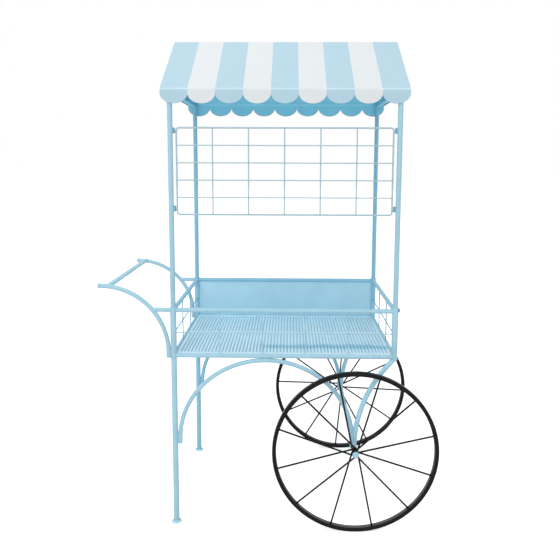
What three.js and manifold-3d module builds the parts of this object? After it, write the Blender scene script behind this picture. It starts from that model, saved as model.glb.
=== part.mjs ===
// Flower cart: a tube frame on two spoked wheels and two legs, with a wire basket, a curved push
// handle, a hanging wire grid and a gable roof of folded sheet with scalloped edges.
// Lengths are in millimetres, +Z is up, and the front of the cart faces -Y.
import * as THREE from 'three';
import { mergeVertices } from 'three/addons/utils/BufferGeometryUtils.js';
import Module from 'manifold-3d';

const wasm = await Module();
wasm.setup();

// Clearances
const weldGap = 0.3;
const plugGap = 0.3;
const runningGap = 0.3;
const cutOverrun = 20;

// Basket frame
const postSpacingX = 800;
const postSpacingY = 600;
const cornerPostWall = 1.7;
const railDiameter = 16;
const railWall = 1.5;
const bottomRailHeight = 645;
const basketDepth = 169;
const postRise = 3;

// Basket infill
const panelThickness = 1.5;
const infillWireDiameter = 4;
const infillWeldDepth = 1;
const frontWireCount = 4;
const sideWireCount = 2;

// Floor sheet
const floorThickness = 1.5;
const floorDrop = 2;
const slotPitch = 12.6;
const slotWidth = 5;
const slotEndMargin = 20;
const slotSideMargin = 8;
const slotRowBridge = 24;
const slotRowCount = 2;
const slotDepth = 3.5;
const braceWidth = 20;
const braceThickness = 4;
const braceSetback = 110;

// Legs and feet
const legDiameter = 21;
const legWall = 1.5;
const footLedge = 4;
const footFlare = 4.3;
const footRimHeight = 3.5;
const footCrownRise = 2;
const footPlugLength = 25;

// Wheels and axle
const wheelRadius = 301.5;
const rimDepth = 14.5;
const rimWidth = 19;
const rimWall = 3;
const axleSetback = 139;
const axleTubeDiameter = 18;
const journalDiameter = 12;
const hubLength = 40;
const hubSetOut = 45;
const hubBarrelWall = 2.7;
const hubFlangeRise = 3.5;
const hubFlangeThickness = 7;
const hubFlangeSetIn = 5;
const spokeDiameter = 6.5;
const spokeCount = 12;
const spokeFootWall = 0.45;
const spokeEdge = 0.75;
const frontSpokeAngle = 13;
const rearSpokeAngle = 26.4;
const capRadius = 12.3;
const capLength = 8;
const capRimLength = 2.5;
const capBoreDepth = 4.5;
const archStraight = 28;
const archEndRise = 8;
const strutDiameter = 18.5;

// Handle
const armDiameter = 16;
const armWall = 1.5;
const handleRise = 86;
const armStraight = 21;
const knobSwell = 1.5;
const knobLength = 11;
const knobNeckLength = 2;
const gripDiameter = 18;
const gripWall = 1.5;
const gripSetback = 30;
const gripRise = 3;

// Canopy
const canopyPostDiameter = 18;
const canopyPostWall = 1.5;
const canopyPostPlug = 80;
const canopyRailDiameter = 16;
const canopyRailWall = 1.5;
const gableOverhang = 31.5;
const valanceGap = 1.5;
const roofThickness = 1.5;
const eaveHeight = 1595;
const roofRise = 212;
const valanceBand = 14;
const scallopDepth = 35;
const scallopCount = 9;
const valanceLap = 4;
const gableThickness = 1.5;

// Hanging grid and its hooks
const gridDrop = 132.7;
const gridHeight = 302.8;
const gridSideGap = 12.7;
const gridCornerRadius = 10;
const gridFrameDiameter = 6;
const gridUprightDiameter = 4.5;
const gridCrossDiameter = 4;
const gridWeldDepth = 1.7;
const gridColumnCount = 6;
const gridRowCount = 5;
const pinDiameter = 4;
const pinEndGap = 2.7;
const topPinDrop = 13.3;
const bottomPinRise = 17;
const hookEndGap = 1.9;
const hookWall = 2.5;
const hookFloor = 4;
const hookSideGap = 0.5;
const hookSlotDepth = 16;

// Corner bolt
const boltHeadDiameter = 13;
const boltHeadLength = 6;
const boltRise = 4;

// Facets
const tubeSides = 12;
const bentTubeSides = 10;
const wireSides = 6;
const loopSides = 8;
const turnedSides = 24;
const smallTurnedSides = 16;
const rimSides = 64;
const archSteps = 18;
const armSteps = 12;
const strutSteps = 8;
const cornerSteps = 4;
const scallopSteps = 12;

// Places worked out from the sizes above
const halfX = postSpacingX / 2;
const rearY = postSpacingY;
const railRadius = railDiameter / 2;
const canopyPostRadius = canopyPostDiameter / 2;
const cornerPostBore = canopyPostRadius + plugGap;
const cornerPostRadius = cornerPostBore + cornerPostWall;
const topRailHeight = bottomRailHeight + basketDepth;
const underBasket = bottomRailHeight - railRadius;
const overBottomRail = bottomRailHeight + railRadius;
const underTopRail = topRailHeight - railRadius;
const overTopRail = topRailHeight + railRadius;
const cornerPostTop = overTopRail + postRise;
const insideX = halfX - cornerPostRadius - weldGap;
const frontInsideY = cornerPostRadius + weldGap;
const rearInsideY = rearY - frontInsideY;
const axleHeight = wheelRadius;
const axleX = halfX - axleSetback;
const armRadius = armDiameter / 2;
const armX = -(halfX + cornerPostRadius + weldGap + armRadius);
const armBendZ = underBasket + armStraight;
const armBendRadius = topRailHeight + handleRise - armBendZ;
const armBendX = armX - armBendRadius;
const handleEndX = armBendX - weldGap - knobLength;
const wheelEndX = axleX + wheelRadius;
const originX = (handleEndX + wheelEndX) / 2;
const originY = rearY / 2;

const cart = new THREE.Group();
cart.position.set(-originX, -originY, 0);

const paleBluePaint = { color: 0xa3d0e4, roughness: 0.42, metalness: 0.1 };
const roofPaint = { color: 0xbedde9, roughness: 0.45, metalness: 0.1 };
const blackPaint = { color: 0x1c1d1f, roughness: 0.4, metalness: 0.2 };
const zincPlate = { color: 0x9a9fb0, roughness: 0.4, metalness: 0.8 };

function addPiece(name, geometry, finish) {
  const mesh = new THREE.Mesh(geometry, new THREE.MeshStandardMaterial(finish));
  mesh.name = name;
  cart.add(mesh);
}

// Turns a mesh right side out, whichever way its outline was drawn
function facingOut(geometry) {
  const flat = geometry.index ? geometry.toNonIndexed() : geometry;
  const place = flat.attributes.position;
  const a = new THREE.Vector3();
  const b = new THREE.Vector3();
  const c = new THREE.Vector3();
  let volume = 0;
  for (let i = 0; i < place.count; i += 3) {
    a.fromBufferAttribute(place, i);
    b.fromBufferAttribute(place, i + 1);
    c.fromBufferAttribute(place, i + 2);
    volume += a.dot(b.cross(c));
  }
  if (volume < 0) {
    for (let i = 0; i < place.count; i += 3) {
      b.fromBufferAttribute(place, i + 1);
      c.fromBufferAttribute(place, i + 2);
      place.setXYZ(i + 1, c.x, c.y, c.z);
      place.setXYZ(i + 2, b.x, b.y, b.z);
    }
  }
  flat.deleteAttribute('normal');
  flat.deleteAttribute('uv');
  return mergeVertices(flat);
}

function solidOf(geometry) {
  const welded = facingOut(geometry);
  const vertProperties = new Float32Array(welded.attributes.position.array);
  const triVerts = new Uint32Array(welded.index.array);
  return new wasm.Manifold(new wasm.Mesh({ numProp: 3, vertProperties, triVerts }));
}

function geometryOf(solid) {
  const mesh = solid.getMesh();
  const geometry = new THREE.BufferGeometry();
  const places = new Float32Array(mesh.vertProperties);
  geometry.setAttribute('position', new THREE.BufferAttribute(places, mesh.numProp));
  geometry.setIndex(new THREE.BufferAttribute(new Uint32Array(mesh.triVerts), 1));
  return geometry;
}

function joined(geometries) {
  const [first, ...others] = geometries.map(solidOf);
  return geometryOf(others.reduce((sum, solid) => sum.add(solid), first));
}

function cutBy(geometry, cutters) {
  const body = solidOf(geometry);
  return geometryOf(cutters.map(solidOf).reduce((rest, cutter) => rest.subtract(cutter), body));
}

// Cuts a tube by another and keeps the larger piece of what is left
function largestPiece(geometry, cutter) {
  const rest = solidOf(geometry).subtract(solidOf(cutter));
  const pieces = rest.decompose();
  return geometryOf(pieces.sort((one, other) => other.volume() - one.volume())[0]);
}

// How far a flat of a many-sided round lies from its middle
function flatReach(radius, sides) {
  return radius * Math.cos(Math.PI / sides);
}

function alongLine(geometry, from, to) {
  const axis = to.clone().sub(from).normalize();
  const turn = new THREE.Quaternion().setFromUnitVectors(new THREE.Vector3(0, 1, 0), axis);
  geometry.applyQuaternion(turn);
  geometry.translate(from.x, from.y, from.z);
  return geometry;
}

function straightTube(diameter, wall, from, to) {
  const outer = diameter / 2;
  const inner = outer - wall;
  const length = from.distanceTo(to);
  const wallOutline = [
    new THREE.Vector2(inner, 0),
    new THREE.Vector2(outer, 0),
    new THREE.Vector2(outer, length),
    new THREE.Vector2(inner, length),
    new THREE.Vector2(inner, 0),
  ];
  return facingOut(alongLine(new THREE.LatheGeometry(wallOutline, tubeSides), from, to));
}

function straightRod(diameter, from, to, sides) {
  const length = from.distanceTo(to);
  const rod = new THREE.CylinderGeometry(diameter / 2, diameter / 2, length, sides);
  rod.translate(0, length / 2, 0);
  return alongLine(rod, from, to);
}

function turned(outline, sides) {
  const points = outline.map(([radius, along]) => new THREE.Vector2(radius, along));
  return facingOut(new THREE.LatheGeometry(points, sides));
}

// A bend in an upright plane of the given y, as far across as up where both reaches are the same
class UprightBend extends THREE.Curve {
  constructor(centreX, centreZ, y, across, up, startAngle, endAngle) {
    super();
    Object.assign(this, { centreX, centreZ, y, across, up, startAngle, endAngle });
  }

  getPoint(share, target = new THREE.Vector3()) {
    const angle = this.startAngle + (this.endAngle - this.startAngle) * share;
    const x = this.centreX + this.across * Math.cos(angle);
    const z = this.centreZ + this.up * Math.sin(angle);
    return target.set(x, this.y, z);
  }
}

function bentTube(curve, diameter, wall, steps) {
  const section = new THREE.Shape();
  section.absarc(0, 0, diameter / 2, 0, 2 * Math.PI);
  if (wall > 0) {
    const bore = new THREE.Path();
    bore.absarc(0, 0, diameter / 2 - wall, 0, 2 * Math.PI);
    section.holes.push(bore);
  }
  const options = { steps, extrudePath: curve, curveSegments: bentTubeSides / 2 };
  return facingOut(new THREE.ExtrudeGeometry(section, options));
}

function bentPath(pieces) {
  const path = new THREE.CurvePath();
  pieces.forEach((piece) => path.add(piece));
  return path;
}

// Extrudes an outline drawn in x and z, from y towards -y
function uprightSheet(outline, y, thickness, curveSegments) {
  const options = { depth: thickness, bevelEnabled: false, curveSegments };
  const sheet = new THREE.ExtrudeGeometry(outline, options);
  const across = new THREE.Vector3(1, 0, 0);
  const up = new THREE.Vector3(0, 0, 1);
  const forward = new THREE.Vector3(0, -1, 0);
  sheet.applyMatrix4(new THREE.Matrix4().makeBasis(across, up, forward));
  return facingOut(sheet.translate(0, y, 0));
}

// Extrudes an outline drawn in y and z, from x towards +x
function crossSheet(outline, x, thickness) {
  const sheet = new THREE.ExtrudeGeometry(outline, { depth: thickness, bevelEnabled: false });
  const back = new THREE.Vector3(0, 1, 0);
  const up = new THREE.Vector3(0, 0, 1);
  const across = new THREE.Vector3(1, 0, 0);
  sheet.applyMatrix4(new THREE.Matrix4().makeBasis(back, up, across));
  return facingOut(sheet.translate(x, 0, 0));
}

function outlineOf(points) {
  return new THREE.Shape(points.map(([x, y]) => new THREE.Vector2(x, y)));
}

function boxBetween(low, high) {
  const size = high.clone().sub(low);
  const box = new THREE.BoxGeometry(size.x, size.y, size.z);
  const middle = low.clone().add(high).multiplyScalar(1 / 2);
  return box.translate(middle.x, middle.y, middle.z);
}

function at(x, y, z) {
  return new THREE.Vector3(x, y, z);
}

const sides = [
  { name: 'left', x: -halfX },
  { name: 'right', x: halfX },
];
const ends = [
  { name: 'front', y: 0, outward: -1 },
  { name: 'rear', y: rearY, outward: 1 },
];

// Corner posts of the basket, bored so that the canopy posts plug in from above
for (const end of ends) {
  for (const side of sides) {
    const foot = at(side.x, end.y, underBasket);
    const top = at(side.x, end.y, cornerPostTop);
    const post = straightTube(2 * cornerPostRadius, cornerPostWall, foot, top);
    addPiece(`corner_post_${end.name}_${side.name}`, post, paleBluePaint);
  }
}

// Rails of the basket, two heights on each of the four faces
const railLevels = [
  { name: 'bottom', z: bottomRailHeight },
  { name: 'top', z: topRailHeight },
];
for (const level of railLevels) {
  for (const end of ends) {
    const from = at(-insideX, end.y, level.z);
    const to = at(insideX, end.y, level.z);
    const rail = straightTube(railDiameter, railWall, from, to);
    addPiece(`rail_${end.name}_${level.name}`, rail, paleBluePaint);
  }
  for (const side of sides) {
    const from = at(side.x, frontInsideY, level.z);
    const to = at(side.x, rearInsideY, level.z);
    const rail = straightTube(railDiameter, railWall, from, to);
    addPiece(`rail_${side.name}_${level.name}`, rail, paleBluePaint);
  }
}

// Solid back panel between the rear rails
const infillLow = overBottomRail + weldGap;
const infillHigh = underTopRail - weldGap;
const infillMiddle = (infillLow + infillHigh) / 2;
const backPanel = boxBetween(
  at(-insideX, rearY - panelThickness / 2, infillLow),
  at(insideX, rearY + panelThickness / 2, infillHigh),
);
addPiece('back_panel', backPanel, paleBluePaint);

// Wire infill: one wire along the middle and upright wires at an even pitch, welded where they cross
function wireInfill(start, finish, uprightCount, weldOffset) {
  const run = finish.clone().sub(start);
  const wires = [];
  const lift = at(0, 0, infillHigh - infillLow);
  for (let i = 1; i <= uprightCount; i += 1) {
    const base = start.clone().addScaledVector(run, i / (uprightCount + 1)).setZ(infillLow);
    wires.push(straightRod(infillWireDiameter, base, base.clone().add(lift), wireSides));
  }
  const from = start.clone().add(weldOffset).setZ(infillMiddle);
  const to = finish.clone().add(weldOffset).setZ(infillMiddle);
  wires.push(straightRod(infillWireDiameter, from, to, wireSides));
  return joined(wires);
}
const crossOffset = infillWireDiameter - infillWeldDepth;
const frontInfill = wireInfill(
  at(-insideX, 0, infillLow),
  at(insideX, 0, infillLow),
  frontWireCount,
  at(0, crossOffset, 0),
);
addPiece('infill_front', frontInfill, paleBluePaint);
for (const side of sides) {
  const inward = side.x < 0 ? crossOffset : -crossOffset;
  const from = at(side.x, frontInsideY, infillLow);
  const to = at(side.x, rearInsideY, infillLow);
  const infill = wireInfill(from, to, sideWireCount, at(inward, 0, 0));
  addPiece(`infill_${side.name}`, infill, paleBluePaint);
}

// Floor sheet with two rows of pressed slots, set between the bottom rails just under their tops
const floorHalfX = halfX - railRadius - weldGap;
const floorFrontY = railRadius + weldGap;
const floorRearY = rearY - railRadius - weldGap;
const floorTop = overBottomRail - floorDrop;
const floorUnder = floorTop - floorThickness;
const slotFloor = floorTop - slotDepth;
const slotUnder = slotFloor - floorThickness;
function floorSheet() {
  const sheet = boxBetween(
    at(-floorHalfX, floorFrontY, floorUnder),
    at(floorHalfX, floorRearY, floorTop),
  );
  const sheetMiddle = (floorTop + floorUnder) / 2;
  const slotRoom = 2 * (floorHalfX - slotSideMargin) - slotWidth;
  const columns = Math.floor(slotRoom / slotPitch) + 1;
  const slotSpan = floorRearY - floorFrontY - 2 * slotEndMargin;
  const slotLength = (slotSpan - slotRowBridge * (slotRowCount - 1)) / slotRowCount;
  const slots = [];
  const troughs = [];
  for (let row = 0; row < slotRowCount; row += 1) {
    const near = floorFrontY + slotEndMargin + row * (slotLength + slotRowBridge);
    const far = near + slotLength;
    for (let column = 0; column < columns; column += 1) {
      const middle = (column - (columns - 1) / 2) * slotPitch;
      const left = middle - slotWidth / 2;
      const right = middle + slotWidth / 2;
      slots.push(boxBetween(at(left, near, slotFloor), at(right, far, floorTop + cutOverrun)));
      troughs.push(boxBetween(
        at(left - floorThickness, near - floorThickness, slotUnder),
        at(right + floorThickness, far + floorThickness, sheetMiddle),
      ));
    }
  }
  return cutBy(joined([sheet, ...troughs]), slots);
}
addPiece('floor_sheet', floorSheet(), paleBluePaint);

const braceTop = slotUnder - weldGap;
const floorBrace = boxBetween(
  at(-floorHalfX, braceSetback - braceWidth / 2, braceTop - braceThickness),
  at(floorHalfX, braceSetback + braceWidth / 2, braceTop),
);
addPiece('floor_brace', floorBrace, paleBluePaint);

// Bolt through the front right post, its head outside
const boltZ = topRailHeight + boltRise;
const boltStart = halfX + cornerPostRadius + weldGap;
const boltHead = straightRod(
  boltHeadDiameter,
  at(boltStart, 0, boltZ),
  at(boltStart + boltHeadLength, 0, boltZ),
  wireSides,
);
addPiece('corner_bolt', boltHead, zincPlate);

// Legs under the left posts, each on a flared foot with a plug up its bore
const legTop = underBasket - weldGap;
const footPlugRadius = flatReach(legDiameter / 2 - legWall, tubeSides) - plugGap;
const footCrownRadius = legDiameter / 2 + footLedge;
const footRadius = footCrownRadius + footFlare;
const footHeight = footRimHeight + footCrownRise;
for (const end of ends) {
  const foot = turned(
    [
      [0, 0],
      [footRadius, 0],
      [footRadius, footRimHeight],
      [footCrownRadius, footHeight],
      [footPlugRadius, footHeight],
      [footPlugRadius, footHeight + footPlugLength],
      [0, footHeight + footPlugLength],
    ],
    smallTurnedSides,
  );
  foot.rotateX(Math.PI / 2);
  foot.translate(-halfX, end.y, 0);
  addPiece(`foot_${end.name}`, foot, paleBluePaint);
  const legStart = at(-halfX, end.y, footHeight + weldGap);
  const leg = straightTube(legDiameter, legWall, legStart, at(-halfX, end.y, legTop));
  addPiece(`leg_${end.name}`, leg, paleBluePaint);
}

// Axle: a tube across the cart, stepped down to a journal at each end
const axleRadius = axleTubeDiameter / 2;
const journalRadius = journalDiameter / 2;
const hubInner = hubSetOut - hubLength / 2;
const hubOuter = hubSetOut + hubLength / 2;
const shoulder = hubInner - runningGap;
const capInner = hubOuter + runningGap;
const journalEnd = capInner + capBoreDepth - weldGap;
const axle = turned(
  [
    [0, -journalEnd],
    [journalRadius, -journalEnd],
    [journalRadius, -shoulder],
    [axleRadius, -shoulder],
    [axleRadius, rearY + shoulder],
    [journalRadius, rearY + shoulder],
    [journalRadius, rearY + journalEnd],
    [0, rearY + journalEnd],
  ],
  turnedSides,
);
addPiece('axle', axle.translate(axleX, 0, axleHeight), paleBluePaint);

// Arches and struts stand on the axle tube, coped round it: the strut over its middle line, and the
// arch's leg beside it, with the strut's foot cut away round the leg
const archLeft = -halfX + legDiameter / 2 + weldGap + railRadius;
const archRight = axleX - railRadius;
const archX = (archLeft + archRight) / 2;
const archZ = axleHeight + archStraight;
const archAcross = (archRight - archLeft) / 2;
const archUp = underBasket - weldGap - railRadius - archZ;
const strutTop = underBasket - weldGap;
const strutRise = strutTop - axleHeight;
const strutRun = halfX - axleX;
const strutRadius = (strutRise * strutRise + strutRun * strutRun) / (2 * strutRun);
const strutSweep = Math.asin(strutRise / strutRadius);
const overrunAngle = cutOverrun / strutRadius;
for (const end of ends) {
  const axleCutter = straightRod(
    axleTubeDiameter + 2 * weldGap,
    at(axleX, end.y - cutOverrun, axleHeight),
    at(axleX, end.y + cutOverrun, axleHeight),
    turnedSides,
  );
  const archPath = bentPath([
    new THREE.LineCurve3(at(archRight, end.y, axleHeight), at(archRight, end.y, archZ)),
    new UprightBend(archX, archZ, end.y, archAcross, archUp, 0, Math.PI),
    new THREE.LineCurve3(at(archLeft, end.y, archZ), at(archLeft, end.y, axleHeight + archEndRise)),
  ]);
  const arch = bentTube(archPath, railDiameter, railWall, archSteps);
  addPiece(`arch_${end.name}`, cutBy(arch, [axleCutter]), paleBluePaint);

  const archCutter = bentTube(archPath, railDiameter + 2 * weldGap, 0, archSteps);
  const strutCentreX = axleX + strutRadius;
  const strutEnd = Math.PI - strutSweep - overrunAngle;
  const strutPath = new UprightBend(
    strutCentreX, axleHeight, end.y, strutRadius, strutRadius, Math.PI, strutEnd,
  );
  const strut = bentTube(strutPath, strutDiameter, railWall, strutSteps);
  const topCutter = boxBetween(
    at(axleX, end.y - cutOverrun, strutTop),
    at(strutCentreX, end.y + cutOverrun, strutTop + 2 * cutOverrun),
  );
  addPiece(`strut_${end.name}`, cutBy(strut, [axleCutter, archCutter, topCutter]), paleBluePaint);
}

// Wheels: a rolled channel rim, and a turned hub with spokes from its two flanges by turns, which
// leave one flange leaning one way round and the other flange leaning the other way
function rim(y) {
  const tread = wheelRadius;
  const web = wheelRadius - rimWall;
  const lip = wheelRadius - rimDepth;
  const half = rimWidth / 2;
  const inside = half - rimWall;
  const channel = turned(
    [
      [lip, -half],
      [tread, -half],
      [tread, half],
      [lip, half],
      [lip, inside],
      [web, inside],
      [web, -inside],
      [lip, -inside],
      [lip, -half],
    ],
    rimSides,
  );
  return channel.translate(axleX, y, axleHeight);
}

function spokedHub(y, outward, firstAngle) {
  const bore = journalRadius + runningGap;
  const barrel = bore + hubBarrelWall;
  const flange = barrel + hubFlangeRise;
  const half = hubLength / 2;
  const flangeOutside = half - hubFlangeSetIn;
  const flangeInside = flangeOutside - hubFlangeThickness;
  const hub = turned(
    [
      [bore, -half],
      [barrel, -half],
      [barrel, -flangeOutside],
      [flange, -flangeOutside],
      [flange, -flangeInside],
      [barrel, -flangeInside],
      [barrel, flangeInside],
      [flange, flangeInside],
      [flange, flangeOutside],
      [barrel, flangeOutside],
      [barrel, half],
      [bore, half],
      [bore, -half],
    ],
    turnedSides,
  );
  const pieces = [hub.translate(axleX, y, axleHeight)];
  const spokeRadius = spokeDiameter / 2;
  const spokeOffset = flange - spokeEdge - spokeRadius;
  const rootReach = Math.sqrt((bore + spokeFootWall) ** 2 - (spokeOffset - spokeRadius) ** 2);
  const tipRadius = flatReach(wheelRadius - rimWall, rimSides) - weldGap;
  const tipReach = Math.sqrt(tipRadius ** 2 - spokeOffset ** 2);
  const leanAngle = Math.asin(spokeOffset / tipRadius);
  const flangeMiddle = (flangeOutside + flangeInside) / 2;
  for (let i = 0; i < spokeCount; i += 1) {
    const side = i % 2 === 0 ? -outward : outward;
    const angle = THREE.MathUtils.degToRad(firstAngle + (360 / spokeCount) * i) + side * leanAngle;
    const towardsRim = at(Math.cos(angle), 0, Math.sin(angle));
    const aside = at(Math.sin(angle), 0, -Math.cos(angle)).multiplyScalar(side * spokeOffset);
    const middle = at(axleX, y, axleHeight).add(aside);
    const root = middle.clone().addScaledVector(towardsRim, rootReach);
    root.y += side * flangeMiddle;
    const tip = middle.clone().addScaledVector(towardsRim, tipReach);
    pieces.push(straightRod(spokeDiameter, root, tip, wireSides));
  }
  return joined(pieces);
}

for (const end of ends) {
  const wheelY = end.y + end.outward * hubSetOut;
  const firstAngle = end.outward < 0 ? frontSpokeAngle : rearSpokeAngle;
  addPiece(`rim_${end.name}`, rim(wheelY), blackPaint);
  addPiece(`spoked_hub_${end.name}`, spokedHub(wheelY, end.outward, firstAngle), blackPaint);

  const capBore = journalRadius + plugGap;
  const capCrown = capRadius * Math.SQRT1_2;
  const cap = turned(
    [
      [capBore, 0],
      [capRadius, 0],
      [capRadius, capRimLength],
      [capCrown, capLength - capRimLength / 2],
      [0, capLength],
      [0, capBoreDepth],
      [capBore, capBoreDepth],
      [capBore, 0],
    ],
    smallTurnedSides,
  );
  if (end.outward < 0) {
    cap.rotateZ(Math.PI);
  }
  const capY = end.y + end.outward * capInner;
  addPiece(`axle_cap_${end.name}`, cap.translate(axleX, capY, axleHeight), paleBluePaint);
}

// Handle: two bent arms beside the left posts, knobs on their ends, a grip bar and two tie bars
const knobRadius = armRadius + knobSwell;
const gripX = armBendX + gripSetback;
const gripZ = armBendZ + Math.sqrt(armBendRadius ** 2 - gripSetback ** 2) + gripRise;
for (const end of ends) {
  const armPath = bentPath([
    new THREE.LineCurve3(at(armX, end.y, underBasket), at(armX, end.y, armBendZ)),
    new UprightBend(armBendX, armBendZ, end.y, armBendRadius, armBendRadius, 0, Math.PI / 2),
  ]);
  const arm = bentTube(armPath, armDiameter, armWall, armSteps);
  addPiece(`handle_arm_${end.name}`, arm, paleBluePaint);

  const knob = turned(
    [
      [0, 0],
      [armRadius, 0],
      [knobRadius, knobNeckLength],
      [knobRadius, knobLength / 2],
      [knobRadius * Math.SQRT1_2, knobLength - knobNeckLength],
      [0, knobLength],
    ],
    smallTurnedSides,
  );
  knob.rotateZ(Math.PI / 2);
  knob.translate(armBendX - weldGap, end.y, armBendZ + armBendRadius);
  addPiece(`handle_knob_${end.name}`, knob, paleBluePaint);

  const armCutter = bentTube(armPath, armDiameter + 2 * weldGap, 0, armSteps);
  const tieLeft = armBendX + Math.sqrt(armBendRadius ** 2 - (topRailHeight - armBendZ) ** 2);
  const tieRight = -halfX - cornerPostRadius - weldGap;
  const tie = straightTube(
    railDiameter,
    railWall,
    at(tieLeft, end.y, topRailHeight),
    at(tieRight, end.y, topRailHeight),
  );
  addPiece(`handle_tie_${end.name}`, largestPiece(tie, armCutter), paleBluePaint);
}

const gripBar = straightTube(
  gripDiameter,
  gripWall,
  at(gripX, armRadius + weldGap, gripZ),
  at(gripX, rearY - armRadius - weldGap, gripZ),
);
addPiece('handle_grip', gripBar, paleBluePaint);

// Canopy: posts plugged into the corner posts, a rail across each pair, and the folded roof on top
const canopyRailRadius = canopyRailDiameter / 2;
const roofLength = postSpacingX + 2 * gableOverhang;
const roofOverhang = canopyPostRadius + valanceGap + roofThickness;
const ridgeHeight = eaveHeight + roofRise;
const roofRun = rearY / 2 + roofOverhang;
const roofSlope = Math.atan2(roofRise, roofRun);
const roofDrop = roofThickness / Math.cos(roofSlope);
const roofUnderAt = (y) => eaveHeight + (y + roofOverhang) * Math.tan(roofSlope) - roofDrop;
const seatDrop = weldGap / Math.cos(roofSlope);
const canopyRailTop = roofUnderAt(-canopyPostRadius) - seatDrop;
const canopyRailZ = canopyRailTop - canopyRailRadius;
const canopyPostTop = canopyRailZ - canopyRailRadius - weldGap;
for (const side of sides) {
  for (const end of ends) {
    const from = at(side.x, end.y, cornerPostTop - canopyPostPlug);
    const to = at(side.x, end.y, canopyPostTop);
    const post = straightTube(canopyPostDiameter, canopyPostWall, from, to);
    addPiece(`canopy_post_${end.name}_${side.name}`, post, paleBluePaint);
  }
  const railStart = at(side.x, -canopyPostRadius, canopyRailZ);
  const railFinish = at(side.x, rearY + canopyPostRadius, canopyRailZ);
  const rail = straightTube(canopyRailDiameter, canopyRailWall, railStart, railFinish);
  addPiece(`canopy_rail_${side.name}`, rail, paleBluePaint);
}

function valance(y, halfLength) {
  const scallopWidth = (2 * halfLength) / scallopCount;
  const cuspZ = eaveHeight - valanceBand;
  const outline = new THREE.Shape();
  outline.moveTo(-halfLength, eaveHeight - valanceLap);
  outline.lineTo(-halfLength, cuspZ);
  for (let i = 0; i < scallopCount; i += 1) {
    const middle = -halfLength + (i + 1 / 2) * scallopWidth;
    outline.absellipse(middle, cuspZ, scallopWidth / 2, scallopDepth, Math.PI, 2 * Math.PI);
  }
  outline.lineTo(halfLength, eaveHeight - valanceLap);
  outline.closePath();
  return uprightSheet(outline, y, roofThickness, scallopSteps / 2);
}

function roofSheet() {
  const front = -roofOverhang;
  const back = rearY + roofOverhang;
  const ridgeY = rearY / 2;
  const bandFoot = eaveHeight - valanceLap - roofThickness;
  const section = outlineOf([
    [front, bandFoot],
    [front + roofThickness, bandFoot],
    [front + roofThickness, roofUnderAt(front + roofThickness)],
    [ridgeY, ridgeHeight - roofDrop],
    [back - roofThickness, roofUnderAt(front + roofThickness)],
    [back - roofThickness, bandFoot],
    [back, bandFoot],
    [back, eaveHeight],
    [ridgeY, ridgeHeight],
    [front, eaveHeight],
  ]);
  const half = roofLength / 2;
  return joined([
    crossSheet(section, -half, roofLength),
    valance(front + roofThickness, half),
    valance(back, half),
  ]);
}
addPiece('roof_sheet', roofSheet(), roofPaint);

const gableFront = -roofOverhang + roofThickness + weldGap;
const gableRear = rearY - gableFront;
const gableFoot = eaveHeight - roofThickness;
const gableUnder = (y) => roofUnderAt(y) - seatDrop;
for (const side of sides) {
  const outline = outlineOf([
    [gableFront, gableFoot - valanceLap],
    [gableRear, gableFoot - valanceLap],
    [gableRear, gableUnder(gableFront)],
    [rearY / 2, gableUnder(rearY / 2)],
    [gableFront, gableUnder(gableFront)],
  ]);
  const outerFace = roofLength / 2;
  const x = side.x < 0 ? -outerFace : outerFace - gableThickness;
  addPiece(`gable_${side.name}`, crossSheet(outline, x, gableThickness), roofPaint);
}

// Hanging grid: a rounded wire frame with upright and cross wires, and four side pins
function loopRod(halfWidth, low, high, cornerRadius, diameter) {
  const path = [];
  const corners = [
    { x: halfWidth, z: high, turn: 0 },
    { x: -halfWidth, z: high, turn: 1 },
    { x: -halfWidth, z: low, turn: 2 },
    { x: halfWidth, z: low, turn: 3 },
  ];
  for (const corner of corners) {
    const centreX = corner.x - Math.sign(corner.x) * cornerRadius;
    const centreZ = corner.z === high ? high - cornerRadius : low + cornerRadius;
    for (let step = 0; step <= cornerSteps; step += 1) {
      const angle = (corner.turn + step / cornerSteps) * (Math.PI / 2);
      const outX = Math.cos(angle);
      const outZ = Math.sin(angle);
      const x = centreX + cornerRadius * outX;
      const z = centreZ + cornerRadius * outZ;
      path.push({ x, z, outX, outZ });
    }
  }
  const places = [];
  const faces = [];
  const radius = diameter / 2;
  path.forEach((point, i) => {
    for (let side = 0; side < loopSides; side += 1) {
      const angle = (side / loopSides) * 2 * Math.PI;
      const out = radius * Math.cos(angle);
      const y = radius * Math.sin(angle);
      places.push(point.x + out * point.outX, y, point.z + out * point.outZ);
      const next = (i + 1) % path.length;
      const beside = (side + 1) % loopSides;
      const a = i * loopSides + side;
      const b = next * loopSides + side;
      const c = next * loopSides + beside;
      const d = i * loopSides + beside;
      faces.push(a, b, c, a, c, d);
    }
  });
  const geometry = new THREE.BufferGeometry();
  geometry.setAttribute('position', new THREE.Float32BufferAttribute(places, 3));
  geometry.setIndex(faces);
  return geometry;
}

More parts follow.
